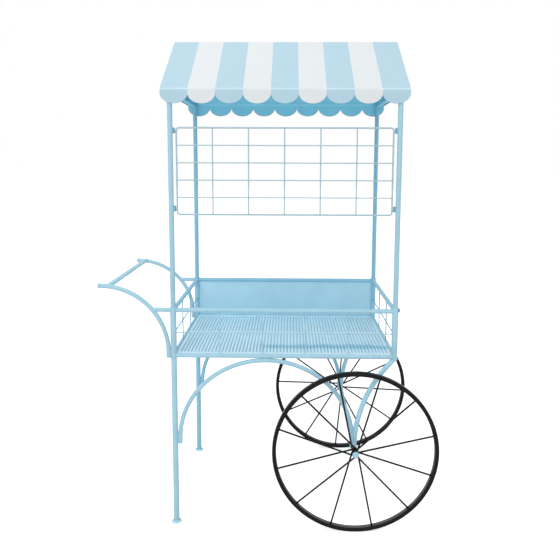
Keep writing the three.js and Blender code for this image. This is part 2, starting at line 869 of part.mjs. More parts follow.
const gridTop = eaveHeight - gridDrop;
const gridBottom = gridTop - gridHeight;
const gridHalfWidth = halfX - canopyPostRadius - gridSideGap;
const topPinZ = gridTop - topPinDrop;
const bottomPinZ = gridBottom + bottomPinRise;
const pinHeights = [
  { name: 'upper', z: topPinZ },
  { name: 'lower', z: bottomPinZ },
];
function hangingGrid() {
  const wires = [loopRod(gridHalfWidth, gridBottom, gridTop, gridCornerRadius, gridFrameDiameter)];
  const columnPitch = (2 * gridHalfWidth) / gridColumnCount;
  const rowPitch = (gridTop - gridBottom) / gridRowCount;
  for (let i = 1; i < gridColumnCount; i += 1) {
    const x = -gridHalfWidth + i * columnPitch;
    const from = at(x, 0, gridBottom);
    const to = at(x, 0, gridTop);
    wires.push(straightRod(gridUprightDiameter, from, to, wireSides));
  }
  const crossY = -(gridFrameDiameter + gridCrossDiameter) / 2 + gridWeldDepth;
  for (let i = 1; i < gridRowCount; i += 1) {
    const z = gridBottom + i * rowPitch;
    const from = at(-gridHalfWidth, crossY, z);
    const to = at(gridHalfWidth, crossY, z);
    wires.push(straightRod(gridCrossDiameter, from, to, wireSides));
  }
  return joined(wires);
}
addPiece('grid_panel', hangingGrid(), paleBluePaint);

const pinStart = gridHalfWidth + gridFrameDiameter / 2 + weldGap;
const pinEnd = halfX - canopyPostRadius - pinEndGap;
for (const side of sides) {
  for (const height of pinHeights) {
    const out = Math.sign(side.x);
    const from = at(out * pinStart, 0, height.z);
    const to = at(out * pinEnd, 0, height.z);
    const pin = straightRod(pinDiameter, from, to, loopSides);
    addPiece(`grid_pin_${height.name}_${side.name}`, pin, paleBluePaint);
  }
}

// Hooks: open-topped channels on the inner faces of the front canopy posts
const hookFace = halfX - canopyPostRadius - weldGap;
const hookInnerEnd = gridHalfWidth + gridFrameDiameter / 2 + hookEndGap;
const hookLength = hookFace - hookInnerEnd;
function hook(side, pinZ) {
  const half = pinDiameter / 2 + hookSideGap;
  const outer = half + hookWall;
  const pinFloor = pinZ - pinDiameter / 2 - weldGap;
  const lip = pinFloor + hookSlotDepth;
  const outline = outlineOf([
    [-outer, pinFloor - hookFloor],
    [outer, pinFloor - hookFloor],
    [outer, lip],
    [half, lip],
    [half, pinFloor],
    [-half, pinFloor],
    [-half, lip],
    [-outer, lip],
  ]);
  const x = side.x < 0 ? -hookFace : hookInnerEnd;
  return crossSheet(outline, x, hookLength);
}
for (const side of sides) {
  for (const height of pinHeights) {
    addPiece(`grid_hook_${height.name}_${side.name}`, hook(side, height.z), paleBluePaint);
  }
}

export default cart;
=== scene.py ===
import math
import random
import bmesh
import bpy
from mathutils import Matrix, Vector


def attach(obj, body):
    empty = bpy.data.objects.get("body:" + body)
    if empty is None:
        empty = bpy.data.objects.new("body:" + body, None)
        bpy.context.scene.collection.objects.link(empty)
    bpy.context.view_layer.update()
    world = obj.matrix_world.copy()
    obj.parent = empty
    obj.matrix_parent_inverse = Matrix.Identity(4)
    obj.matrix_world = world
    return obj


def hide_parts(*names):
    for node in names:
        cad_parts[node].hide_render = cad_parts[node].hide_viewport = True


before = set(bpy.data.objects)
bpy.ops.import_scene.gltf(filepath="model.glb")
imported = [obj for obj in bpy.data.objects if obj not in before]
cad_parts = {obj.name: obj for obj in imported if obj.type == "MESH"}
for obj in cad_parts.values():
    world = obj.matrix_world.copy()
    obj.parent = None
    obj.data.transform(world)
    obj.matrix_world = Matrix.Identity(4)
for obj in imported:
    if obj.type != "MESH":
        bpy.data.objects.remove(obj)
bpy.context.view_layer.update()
dice = random.Random(11)

# Lengths are millimetres from the cart's own zero: on the ground, midway between the front posts.
millimetre = 0.001
cartToFrame = Vector((55.05, -300.0, 0.0))
creaseAngle = math.radians(35)
print("frame loaded")


# Shapes: each is a pair of lists, corners and faces

def joinShapes(shapes):
    corners, faces = [], []
    for shape in shapes:
        start = len(corners)
        corners += shape[0]
        faces += [[corner + start for corner in face] for face in shape[1]]
    return corners, faces


def shapeOf(work):
    work.verts.index_update()
    shape = [v.co.copy() for v in work.verts], [[v.index for v in f.verts] for f in work.faces]
    work.free()
    return shape


# an outline whose corners are cut back by rounding and bent
def softened(corners, rounding, steps=4, closed=True):
    points = []
    count = len(corners)
    for i, corner in enumerate(corners):
        here = Vector(corner)
        if not closed and i in (0, count - 1):
            points.append(tuple(here))
            continue
        back = Vector(corners[i - 1]) - here
        ahead = Vector(corners[(i + 1) % count]) - here
        reach = min(rounding, back.length * 0.45, ahead.length * 0.45)
        start = here + back.normalized() * reach
        finish = here + ahead.normalized() * reach
        for step in range(steps + 1):
            share = step / steps
            points.append(tuple(start.lerp(here, share).lerp(here.lerp(finish, share), share)))
    return points


# points round a circle, from two directions across its axis
def circle(middle, across, other, radius, count):
    angles = [2 * math.pi * i / count for i in range(count)]
    return [middle + (across * math.cos(a) + other * math.sin(a)) * radius for a in angles]


# the skin over a row of rings, with a cap on each free end
def ringFaces(rings, sides, closed):
    faces = []
    for ring in range(rings if closed else rings - 1):
        ahead = (ring + 1) % rings
        for side in range(sides):
            beside = (side + 1) % sides
            faces.append([ring * sides + side, ring * sides + beside,
                          ahead * sides + beside, ahead * sides + side])
    if not closed:
        faces.append(list(range(sides))[::-1])
        faces.append([(rings - 1) * sides + side for side in range(sides)])
    return faces


# a round bar along a path, with a radius at each point
def sweep(path, radii, sides, startCope=None, endCope=None, closed=False):
    points = [Vector(p) for p in path]
    count = len(points)
    headings = []
    for i in range(count):
        if closed:
            headings.append((points[(i + 1) % count] - points[i - 1]).normalized())
        else:
            headings.append((points[min(i + 1, count - 1)] - points[max(i - 1, 0)]).normalized())
    across = headings[0].orthogonal().normalized()
    corners = []
    for i, heading in enumerate(headings):
        if i:
            across = headings[i - 1].rotation_difference(heading) @ across
        across = (across - heading * across.dot(heading)).normalized()
        corners += circle(points[i], across, heading.cross(across), radii[i], sides)
    if startCope:
        for side in range(sides):
            corners[side] = startCope(corners[side], -headings[0])
    if endCope:
        for side in range((count - 1) * sides, count * sides):
            corners[side] = endCope(corners[side], headings[-1])
    return corners, ringFaces(count, sides, closed)


# a tube whose free ends are broken over, and whose other ends are cut to what they meet
def tube(path, radius, rounding=0.7, sides=40, startCope=None, endCope=None):
    points = [Vector(p) for p in path]
    first = (points[1] - points[0]).normalized()
    last = (points[-1] - points[-2]).normalized()
    easing = ((0, 1), (0.3, 0.3), (1, 0))
    run = [(points[0] + first * rounding * a, radius - rounding * b) for a, b in easing]
    finish = [(points[-1] - last * rounding * a, radius - rounding * b) for a, b in easing[::-1]]
    if startCope:
        run = [(points[0], radius)]
    if endCope:
        finish = [(points[-1], radius)]
    run += [(point, radius) for point in points[1:-1]] + finish
    return sweep([p for p, r in run], [r for p, r in run], sides, startCope, endCope)


# a point of a bend that lies square to the cart's depth
def onBend(centreX, centreZ, reachX, reachZ, angle, y=0):
    return centreX + reachX * math.cos(angle), y, centreZ + reachZ * math.sin(angle)


# slides a point along a heading until it meets the skin of a round bar
def ontoBar(middle, axis, radius):
    middle = Vector(middle)
    axis = Vector(axis).normalized()

    def slide(point, heading):
        offset = point - middle
        offset -= axis * offset.dot(axis)
        flat = heading - axis * heading.dot(axis)
        a, b, c = flat.dot(flat), offset.dot(flat), offset.dot(offset) - radius * radius
        return point + heading * ((-b - math.sqrt(max(b * b - a * c, 0))) / a)
    return slide


def ontoLevel(height):
    return lambda point, heading: point + heading * ((height - point.z) / heading.z)


# a turned shape: its profile is a list of distances out from the axis and along it
def lathe(profile, middle, axis, segments=48, loop=False):
    axis = Vector(axis).normalized()
    across = axis.orthogonal().normalized()
    other = axis.cross(across)
    corners, faces, rings = [], [], []
    for radius, along in profile:
        base = Vector(middle) + axis * along
        ring = circle(base, across, other, radius, segments) if radius > 1e-6 else [base]
        rings.append(range(len(corners), len(corners) + len(ring)))
        corners += ring
    for low, high in zip(rings, rings[1:] + rings[:1] if loop else rings[1:]):
        if len(low) == len(high) == 1:
            continue
        for segment in range(segments):
            beside = (segment + 1) % segments
            if len(low) == 1:
                faces.append([low[0], high[segment], high[beside]])
            elif len(high) == 1:
                faces.append([low[segment], low[beside], high[0]])
            else:
                faces.append([low[segment], low[beside], high[beside], high[segment]])
    return corners, faces


# an outline pushed to a depth, its rims broken over; toPlace gives the cart's x, y, z
def extruded(outline, toPlace, depth, edge):
    work = bmesh.new()
    low = [work.verts.new(toPlace(u, v, 0)) for u, v in outline]
    high = [work.verts.new(toPlace(u, v, depth)) for u, v in outline]
    flats = [work.faces.new(low[::-1]), work.faces.new(high)]
    count = len(outline)
    for i in range(count):
        j = (i + 1) % count
        work.faces.new((low[i], low[j], high[j], high[i]))
    rims = [e for face in flats for e in face.edges]
    bmesh.ops.bevel(work, geom=rims, offset=edge, segments=2, profile=0.5, affect="EDGES")
    return shapeOf(work)


def roundedBox(low, high, rounding, mostEdge=0.6):
    corners = [(low[0], low[1]), (high[0], low[1]), (high[0], high[1]), (low[0], high[1])]
    return extruded(softened(corners, rounding, 3), lambda u, v, w: (u, v, low[2] + w),
                    high[2] - low[2], min(rounding, mostEdge))


# half a profile, and its mirror image on the other side of the middle before it
def mirrored(half, middle=0):
    return [(radius, middle - along) for radius, along in half] + half[::-1]


# a flattened nugget where two wires were pressed together
def nugget(middle, axis, radius, half, steps=6, segments=12):
    angles = [math.pi * i / steps for i in range(steps + 1)]
    profile = [(radius * math.sin(angle), -half * math.cos(angle)) for angle in angles]
    profile[0], profile[-1] = (0, -half), (0, half)
    return lathe(profile, middle, axis, segments)


# Weld beads: round in section, rippled as the puddle was stepped along
welding = {"ripple": 0.13, "rippleSteps": 3, "stray": 0.05, "stepLength": 0.8, "sides": 8,
           "fewestRound": 12, "fewestAlong": 6, "endPower": 6, "leastEnd": 0.04}
welds = []


def bead(points, size, closed=True):
    count = len(points)
    middle = sum(points, Vector()) / count
    phase = dice.uniform(0, 2 * math.pi)
    corners = []
    for i, point in enumerate(points):
        ahead = points[(i + 1) % count] if closed else points[min(i + 1, count - 1)]
        behind = points[i - 1] if closed or i else points[0]
        heading = (ahead - behind).normalized()
        out = point - middle
        out -= heading * out.dot(heading)
        out = out.normalized() if out.length > 0.2 else heading.orthogonal().normalized()
        ripple = math.sin(phase + i * 2 * math.pi / welding["rippleSteps"]) * welding["ripple"]
        swell = size * (1 + ripple + dice.uniform(-1, 1) * welding["stray"])
        if not closed:  # the bead thins out at both ends
            fromMiddle = abs(2 * i / (count - 1) - 1)
            swell *= math.sqrt(max(1 - fromMiddle ** welding["endPower"], welding["leastEnd"]))
        corners += circle(point, out, heading.cross(out), swell, welding["sides"])
    return corners, ringFaces(count, welding["sides"], closed)


def weldRound(middle, heading, radius, size, cope=None):
    heading = Vector(heading).normalized()
    across = heading.orthogonal().normalized()
    ripples = round(2 * math.pi * radius / welding["stepLength"] / welding["rippleSteps"])
    count = max(welding["fewestRound"], welding["rippleSteps"] * ripples)
    ring = circle(Vector(middle), across, heading.cross(across), radius, count)
    return bead([cope(point, heading) for point in ring] if cope else ring, size)


def weldLine(start, finish, size):
    start, finish = Vector(start), Vector(finish)
    count = max(welding["fewestAlong"], round((finish - start).length / welding["stepLength"]))
    return bead([start.lerp(finish, i / count) for i in range(count + 1)], size, closed=False)


# beads down both sides of where two round bars touch, each given by its ends and size
def weldBothSides(y, across, *lines):
    for side in (-across, across):
        for (startX, startZ), (finishX, finishZ), size in lines:
            welds.append(weldLine((startX, y + side, startZ), (finishX, y + side, finishZ), size))


# Materials

# an sRGB hex colour as three linear channels
def linear(hexColour):
    channels = [int(hexColour[i:i + 2], 16) / 255 for i in (1, 3, 5)]
    return [c / 12.92 if c <= 0.04045 else ((c + 0.055) / 1.055) ** 2.4 for c in channels]


# a socket takes a number, another socket, or the first output of another node
def addNode(tree, kind, sockets=None, **settings):
    node = tree.nodes.new("ShaderNode" + kind)
    for name, value in settings.items():
        setattr(node, name, value)
    for name, value in (sockets or {}).items():
        if isinstance(value, bpy.types.Node):
            value = value.outputs[0]
        if isinstance(value, bpy.types.NodeSocket):
            tree.links.new(value, node.inputs[name])
        else:
            node.inputs[name].default_value = value
    return node


def newMaterial(name):
    material = bpy.data.materials.new(name)
    material.use_nodes = True
    tree = material.node_tree
    tree.nodes.clear()
    return material, tree


noiseSpan = {"From Min": 0.3, "From Max": 0.7}  # where most of a noise lies

# A painted shadow: over the brace, the floor's right part is a deeper blue in an uneven streak.
# Its places are metres in the frame, and its loss is what red, green and blue lose at its middle.
braceShade = {"middle": -0.193, "core": 0.009, "edge": 0.033, "wander": 0.05, "start": -0.07,
          "full": 0.02, "loss": (-0.48, -0.25, -0.18)}


def paintedBraceShade(tree, place, film, colour):
    parts = addNode(tree, "SeparateXYZ", {"Vector": place})
    wander = addNode(tree, "Math", {0: film, 1: braceShade["wander"], 2: parts.outputs["Y"]},
                     operation="MULTIPLY_ADD")
    level = braceShade["middle"] + braceShade["wander"] / 2
    beside = addNode(tree, "Math", {0: wander, 1: level}, operation="SUBTRACT")
    apart = addNode(tree, "Math", {0: beside}, operation="ABSOLUTE")
    across = addNode(tree, "MapRange",
                     {"Value": apart, "From Min": braceShade["core"], "From Max": braceShade["edge"],
                      "To Min": 1.0, "To Max": 0.0}, interpolation_type="SMOOTHSTEP")
    along = addNode(tree, "MapRange",
                    {"Value": parts.outputs["X"], "From Min": braceShade["start"],
                     "From Max": braceShade["full"], "To Min": 0.0, "To Max": 1.0},
                    interpolation_type="SMOOTHSTEP")
    share = addNode(tree, "Math", {0: across, 1: along}, operation="MULTIPLY")
    loss = addNode(tree, "VectorMath", {0: braceShade["loss"], "Scale": share}, operation="SCALE")
    return addNode(tree, "VectorMath", {0: colour, 1: loss, 2: colour}, operation="MULTIPLY_ADD")


# Coating of dry powder, sprayed and baked: an even satin film with a faint orange-peel skin,
# slightly fuller in tone where the film lies thick. The real peel is about 1.5 mm across; it is
# drawn at 5 mm as well, so that it shows in the render.
powder = {"cloud": 0.070, "fleck": 0.004, "fleckDrift": 0.015, "peel": 0.005, "finePeel": 0.0015,
          "fineShare": 0.3, "peelHeight": 0.0002, "roughnessDrift": 0.04}


def powderCoat(name, hexColour, roughness=0.5, peel=0.07, drift=0.04, sheen=0.25, braceShaded=False):
    material, tree = newMaterial(name)
    place = addNode(tree, "TexCoord").outputs["Object"]
    film, fleck, coarse, fine = (
        addNode(tree, "TexNoise",
                {"Vector": place, "Scale": 1 / powder[size], "Detail": detail}).outputs["Fac"]
        for size, detail in (("cloud", 3.0), ("fleck", 2.0), ("peel", 1.0), ("finePeel", 1.0)))
    tone = addNode(tree, "MapRange", {"Value": film, **noiseSpan, "To Min": 1 - drift,
                                      "To Max": 1 + drift})
    grain = addNode(tree, "MapRange", {"Value": fleck, **noiseSpan,
                                       "To Min": 1 - powder["fleckDrift"],
                                       "To Max": 1 + powder["fleckDrift"]})
    both = addNode(tree, "Math", {0: tone, 1: grain}, operation="MULTIPLY")
    colour = addNode(tree, "VectorMath", {0: linear(hexColour), "Scale": both}, operation="SCALE")
    # the floor coats carry the painted shadow over the brace
    if braceShaded:
        colour = paintedBraceShade(tree, place, film, colour)
    skin = addNode(tree, "Math", {0: fine, 1: powder["fineShare"], 2: coarse},
                   operation="MULTIPLY_ADD")
    bump = addNode(tree, "Bump", {"Strength": peel, "Distance": powder["peelHeight"],
                                  "Height": skin})
    shine = addNode(tree, "MapRange", {"Value": film, **noiseSpan,
                                       "To Min": roughness - powder["roughnessDrift"],
                                       "To Max": roughness + powder["roughnessDrift"]})
    shader = addNode(tree, "BsdfPrincipled", {"Base Color": colour, "Roughness": shine, "IOR": 1.5,
                                              "Specular IOR Level": sheen, "Normal": bump})
    addNode(tree, "OutputMaterial", {"Surface": shader})
    return material


# Steel with a dull zinc plate: grey with a lavender cast, cloudy where the bath left it uneven.
zincBath = {"cloud": 0.003, "tone": (0.88, 1.08), "roughness": (0.32, 0.5), "bump": 0.2,
            "bumpHeight": 0.0001}


def zincPlate(name, hexColour):
    material, tree = newMaterial(name)
    place = addNode(tree, "TexCoord").outputs["Object"]
    cloud = addNode(tree, "TexNoise",
                    {"Vector": place, "Scale": 1 / zincBath["cloud"], "Detail": 4.0}).outputs["Fac"]
    tone, shine = (addNode(tree, "MapRange",
                           {"Value": cloud, **noiseSpan, "To Min": least, "To Max": most})
                   for least, most in (zincBath["tone"], zincBath["roughness"]))
    colour = addNode(tree, "VectorMath", {0: linear(hexColour), "Scale": tone}, operation="SCALE")
    bump = addNode(tree, "Bump", {"Strength": zincBath["bump"], "Distance": zincBath["bumpHeight"],
                                  "Height": cloud})
    shader = addNode(tree, "BsdfPrincipled", {"Base Color": colour, "Metallic": 1.0,
                                              "Roughness": shine, "Normal": bump})
    addNode(tree, "OutputMaterial", {"Surface": shader})
    return material


# Every blue tube has one paint. The tones below are lighter and darker copies of it, painted as the
# light and shade each part stands in, so each tone is a coat of its own.
paints = {
    "pale_blue_paint": {
        "front": ("paleBluePowderCoat", "#A3CCDD"),  # tubes and wires in front: soft, a little grey
        "rear": ("shadedRearPowderCoat", "#96CBE1"),  # rear tubes: painted a darker, clearer blue, as shade
        "inside": ("panelPowderCoat", "#B6DFF0"),  # back panel: painted pale and even, as the light on it
        "slot": ("slotPowderCoat", "#A9DAED", {"braceShaded": True}),  # inside of the slots: painted deeper, as shade in the recess
        "floor": ("floorPowderCoat", "#D8F1FB", {"braceShaded": True}),  # between the slots: painted palest, as the light from above
        "grid": ("gridPowderCoat", "#A8C2CC"),  # hanging grid: greyer
        "wire": ("wirePowderCoat", "#76AFC6"),  # side wires: painted dark, as shade against the light, and thin
        "post": ("rearPostPowderCoat", "#90C6DE"),  # rear canopy posts: painted deeper, as shade under the roof
        "bright": ("paintedLightPowderCoat", "#B6DFEC"),  # grip and feet: painted pale, as light on their tops
        # struts: painted lighter and clearer, as the light on them
        "strut": ("strutPowderCoat", "#ABD8EC"),
        "shade": ("canopyRailPowderCoat", "#80C4DC"),  # canopy rails, in the shade of the roof
        "hook": ("hookPowderCoat", "#74A3B5"),  # hooks of the grid: painted dark, as shade on the posts
    },
    "black_paint": {
        # inside of the rims: painted grey, as light and reflection caught in the channel, with a
        # dull shine
        "channel": ("paintedLightRimChannelCoat", "#808082",
                    {"roughness": 0.42, "drift": 0.1, "sheen": 0.5}),
        # the rest of the wheels: deep black, half glossy
        "black": ("blackPowderCoat", "#080809", {"roughness": 0.33, "drift": 0.1, "sheen": 0.15}),
    },
    "roof_paint": {
        # blue stripes, gables and valance, then white stripes: smooth sheet with long, soft ripples
        "blueStripe": ("blueRoofEnamel", "#ADCBD9", {"peel": 0.15, "drift": 0.02}),
        "whiteStripe": ("whiteRoofEnamel", "#D8DDE0", {"peel": 0.15, "drift": 0.01}),
        # the eaves' folds, outside and inside: painted pale, as a highlight where the sheet bends
        "fold": ("paintedFoldHighlightEnamel", "#C2DCE8", {"peel": 0.05, "drift": 0.02}),
        "innerFold": ("paintedInnerFoldHighlightEnamel", "#9EE0F3", {"peel": 0.05}),
        # underside of the slopes, and inside of the valance: the sheet's own blue inside, painted
        # lighter and clearer as light in the shade there
        "under": ("roofUndersideEnamel", "#84CEE6", {"peel": 0.15, "drift": 0.03}),
        "valance": ("roofInsideEnamel", "#94DEF2", {"peel": 0.15, "drift": 0.03}),
    },
}
coat = {"zinc": {"slot": "zinc_plate", "paint": zincPlate("zincPlatedSteel", "#A5A6B8")}}
for slot, tones in paints.items():
    for tone, (name, hexColour, *film) in tones.items():
        coat[tone] = {"slot": slot, "paint": powderCoat(name, hexColour, **dict(*film))}
print("materials made")


def makePiece(name, shape, finish, nodes=(), body="cart", faceFinishes=None):
    mesh = bpy.data.meshes.new(name)
    corners = [(Vector(corner) + cartToFrame) * millimetre for corner in shape[0]]
    mesh.from_pydata(corners, [], shape[1])
    finishes = [finish]
    if faceFinishes:
        finishes = []
        for chosen in faceFinishes:
            if chosen not in finishes:
                finishes.append(chosen)
        mesh.polygons.foreach_set("material_index", [finishes.index(each) for each in faceFinishes])
    for chosen in finishes:
        mesh.materials.append(chosen["paint"])
    work = bmesh.new()
    work.from_mesh(mesh)
    bmesh.ops.recalc_face_normals(work, faces=work.faces)
    work.to_mesh(mesh)
    work.free()
    mesh.shade_smooth()
    mesh.set_sharp_from_angle(angle=creaseAngle)
    piece = bpy.data.objects.new(name, mesh)
    bpy.context.scene.collection.objects.link(piece)
    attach(piece, body)
    if nodes:
        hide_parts(*nodes)


# most pieces have the name of the node that they replace, in camelCase
def makePart(node, shape, finish, body="cart", faceFinishes=None):
    first, *others = node.split("_")
    name = first + "".join(word.capitalize() for word in others)
    makePiece(name, shape, finish, [node], body, faceFinishes)


# Basket frame

layout = {"postX": 400.0, "rearY": 600.0}
postX, rearY = layout["postX"], layout["rearY"]
sides = [("left", -postX), ("right", postX)]
ends = [("front", 0.0, -1), ("rear", rearY, 1)]

cornerPost = {"radius": 11.0, "foot": 637.0, "top": 825.0, "lip": 1.3}
for endName, y, outward in ends:
    for sideName, x in sides:
        post = tube([(x, y, cornerPost["foot"]), (x, y, cornerPost["top"])], cornerPost["radius"],
                    cornerPost["lip"])
        makePart(f"corner_post_{endName}_{sideName}", post, coat[endName])

# each rail is drawn from points this far off its posts, and its ends are then slid up to them
rail = {"radius": 8.0, "levels": {"bottom": 645.0, "top": 814.0}, "offPost": 30.0, "weldSize": 1.5}
# the left rails, seen from inside the basket, take the deeper coats as painted shade
leftRailCoats = {"bottom": coat["post"], "top": coat["rear"]}


# a bar of the rails' tube, cut to what it meets and welded there all round
def weldedRail(start, finish, startCope, endCope):
    heading = (Vector(finish) - Vector(start)).normalized()
    for end, outward, cope in ((start, -heading, startCope), (finish, heading, endCope)):
        welds.append(weldRound(end, outward, rail["radius"], rail["weldSize"], cope))
    return tube([start, finish], rail["radius"], startCope=startCope, endCope=endCope)


def ontoPost(x, y, z):
    return ontoBar((x, y, z), (0, 0, 1), cornerPost["radius"])


for levelName, z in rail["levels"].items():
    insetX, insetY = postX - rail["offPost"], rearY - rail["offPost"]
    for endName, y, outward in ends:
        bar = weldedRail((-insetX, y, z), (insetX, y, z),
                         ontoPost(-postX, y, z), ontoPost(postX, y, z))
        makePart(f"rail_{endName}_{levelName}", bar, coat[endName])
    for sideName, x in sides:
        bar = weldedRail((x, rail["offPost"], z), (x, insetY, z),
                         ontoPost(x, 0, z), ontoPost(x, rearY, z))
        makePart(f"rail_{sideName}_{levelName}", bar,
                 leftRailCoats[levelName] if sideName == "left" else coat["front"])
print("basket frame made")

# Panel and wires of the basket

# the stitches lie along the panel's top and foot, on both of its faces
panel = {"halfX": 388.7, "thickness": 1.5, "low": 653.0, "high": 806.0, "lap": 0.4, "edge": 0.4}
stitch = {"count": 6, "length": 16.0, "size": 1.1, "in": 0.3, "out": 1.2}
sheet = roundedBox((-panel["halfX"], rearY - panel["thickness"] / 2, panel["low"] - panel["lap"]),
                   (panel["halfX"], rearY + panel["thickness"] / 2, panel["high"] + panel["lap"]),
                   panel["edge"])
makePart("back_panel", sheet, coat["inside"])
for number in range(stitch["count"]):
    x = panel["halfX"] * (2 * (number + 0.5) / stitch["count"] - 1)
    for z in (panel["low"] + stitch["in"], panel["high"] - stitch["in"]):
        for y in (rearY - stitch["out"], rearY + stitch["out"]):
            welds.append(weldLine((x - stitch["length"] / 2, y, z),
                                  (x + stitch["length"] / 2, y, z), stitch["size"]))

infill = {"radius": 2.0, "sides": 16, "low": 652.6, "high": 806.4, "middle": 729.5, "set": 3.0,
          "frontX": [-233.22, -77.74, 77.74, 233.22], "sideY": [203.77, 396.23], "halfX": 388.9,
          "inY": 11.1, "weldSize": 0.8, "weldIn": 0.6, "nugget": (2.3, 1.6)}


# one level wire from start to finish, set off to the inside of the uprights that it crosses
def wireSet(start, finish, uprights, offset):
    start, finish, offset = Vector(start), Vector(finish), Vector(offset)
    heading = (finish - start).normalized()
    up = Vector((0, 0, 1))
    shapes = []

    def addWire(foot, head, run):
        shapes.append(sweep([foot, head], [infill["radius"]] * 2, infill["sides"]))
        for end, outward in ((foot, -run), (head, run)):
            shapes.append(weldRound(end - outward * infill["weldIn"], outward, infill["radius"],
                                    infill["weldSize"]))

    for upright in uprights:
        addWire(Vector((*upright, infill["low"])), Vector((*upright, infill["high"])), up)
        cross = Vector((*upright, infill["middle"])) + offset / 2
        shapes.append(nugget(cross, heading.cross(up), *infill["nugget"]))
    addWire(start + offset, finish + offset, heading)
    return joinShapes(shapes)


z = infill["middle"]
frontWires = wireSet((-infill["halfX"], 0, z), (infill["halfX"], 0, z),
                     [(x, 0) for x in infill["frontX"]], (0, infill["set"], 0))
makePiece("frontWires", frontWires, coat["front"], ["infill_front"])
for sideName, x in sides:
    wires = wireSet((x, infill["inY"], z), (x, rearY - infill["inY"], z),
                    [(x, y) for y in infill["sideY"]], (-math.copysign(infill["set"], x), 0, 0))
    makePiece(f"wires{sideName.capitalize()}", wires, coat["wire"], [f"infill_{sideName}"])
print("panel and wires made")

# Floor sheet with pressed slots, and the flat bar under it

floorSheet = {"halfX": 391.7, "front": 8.3, "rear": 591.7, "top": 651.0, "thickness": 1.5,
              "pitch": 12.6, "slotWidth": 5.0, "slotDepth": 3.5, "columns": 61,
              "rows": [(28.3, 288.0), (312.0, 571.7)], "rollOver": 0.6, "arcSteps": 6,
              "rimHalf": 0.15, "rimEdge": 0.1, "stripEdge": 0.3}


# each slot is a stack of rings: its own cell's border, the rolled edge, the wall and the bottom
def slottedFloor():
    work = bmesh.new()
    bridge = (floorSheet["rows"][0][1] + floorSheet["rows"][1][0]) / 2
    spans = [(floorSheet["front"], bridge), (bridge, floorSheet["rear"])]
    half = floorSheet["slotWidth"] / 2
    pitch, arc, roll = floorSheet["pitch"], floorSheet["arcSteps"], floorSheet["rollOver"]
    wall, top, depth = floorSheet["thickness"], floorSheet["top"], floorSheet["slotDepth"]

    def slotRing(middle, near, far, grow, z):
        points = []
        for centreY, start in ((near + half, math.pi), (far - half, 0)):
            for step in range(arc + 1):
                angle = start + math.pi * step / arc
                points.append((middle + (half + grow) * math.cos(angle),
                               centreY + (half + grow) * math.sin(angle), z))
        return points

    # the border takes two thirds of its points along the short side, and the rest up the long ones
    def cellRing(middle, near, far, low, high, z):
        points = []
        for centreY, border, flip in ((near + half, low, 1), (far - half, high, -1)):
            for step in range(arc + 1):
                share = 2 * step / arc - 1
                x = middle + flip * max(-1, min(1, share * 1.5)) * pitch / 2
                y = border + (centreY - border) * max(0.0, (abs(share) - 2 / 3) * 3)
                points.append((x, y, z))
        return points

    # top and underside of the sheet: how far the slot's skin stands off, and its levels downwards
    skins = [(top, [(roll, 0), (roll * 0.35, -roll * 0.35), (0, -roll), (0, roll - depth),
                    (-roll * 0.35, roll * 0.35 - depth), (-roll, -depth)]),
             (top - wall, [(wall, 0), (wall, roll - depth), (wall - roll * 0.5, roll * 0.2 - depth),
                           (wall - roll, -depth)])]
    finishes = []
    for level, steps in skins:
        # the slots' sunk faces on top take the deeper coat, as painted shade
        inSlot = coat["slot"] if level == top else coat["floor"]
        for (low, high), (near, far) in zip(spans, floorSheet["rows"]):
            for column in range(floorSheet["columns"]):
                middle = (column - (floorSheet["columns"] - 1) / 2) * pitch
                rings = [cellRing(middle, near, far, low, high, level)]
                rings += [slotRing(middle, near, far, grow, level + drop) for grow, drop in steps]
                rings = [[work.verts.new(point) for point in ring] for ring in rings]
                for step, (outer, inner) in enumerate(zip(rings, rings[1:])):
                    for i in range(len(outer)):
                        j = (i + 1) % len(outer)
                        work.faces.new((outer[i], outer[j], inner[j], inner[i]))
                        finishes.append(inSlot if step > 1 else coat["floor"])
                work.faces.new(rings[-1])
                finishes.append(inSlot)
    shapes = [shapeOf(work)]
    # a thin rim in front and at the rear and a plain strip at each side close the skins
    lastCell = floorSheet["columns"] * pitch / 2
    rimHalf = floorSheet["rimHalf"]
    for y in (floorSheet["front"], floorSheet["rear"]):
        shapes.append(roundedBox((-lastCell, y - rimHalf, top - wall), (lastCell, y + rimHalf, top),
                                 floorSheet["rimEdge"]))
    for side in (-1, 1):
        xs = sorted((side * lastCell, side * floorSheet["halfX"]))
        shapes.append(roundedBox((xs[0], floorSheet["front"], top - wall),
                                 (xs[1], floorSheet["rear"], top), floorSheet["stripEdge"]))
    for shape in shapes[1:]:
        finishes += [coat["floor"]] * len(shape[1])
    return joinShapes(shapes), finishes


shape, finishes = slottedFloor()
makePiece("slottedFloor", shape, coat["floor"], ["floor_sheet"], faceFinishes=finishes)

brace = {"low": (-391.9, 100.0, 641.7), "high": (391.9, 120.0, 645.9), "rounding": 0.9}
makePart("floor_brace", roundedBox(brace["low"], brace["high"], brace["rounding"]), coat["front"])
print("floor made")

# Bolt head at the front right post

bolt = {"x": 411.3, "z": 818.0, "sunk": 0.4, "washerRadius": 8.2, "washer": 1.4, "washerEdge": 0.4,
        "cornerRadius": 6.5, "turn": 0.3, "height": 4.6, "edge": 0.7}
startX = bolt["x"] - bolt["sunk"]
profile = [(0, 0), (bolt["washerRadius"], 0), (bolt["washerRadius"], bolt["washer"]),
           (0, bolt["washer"])]
washer = lathe(softened(profile, bolt["washerEdge"], 3, closed=False), (startX, 0, bolt["z"]),
               (1, 0, 0))
angles = [math.pi / 3 * i + bolt["turn"] for i in range(6)]
hexagon = [(bolt["cornerRadius"] * math.cos(angle), bolt["cornerRadius"] * math.sin(angle))
           for angle in angles]
headX = bolt["x"] + bolt["washer"] - bolt["sunk"]
head = extruded(hexagon, lambda u, v, w: (headX + w, u, bolt["z"] + v), bolt["height"],
                bolt["edge"])
makePart("corner_bolt", joinShapes([washer, head]), coat["zinc"])

# Legs and feet

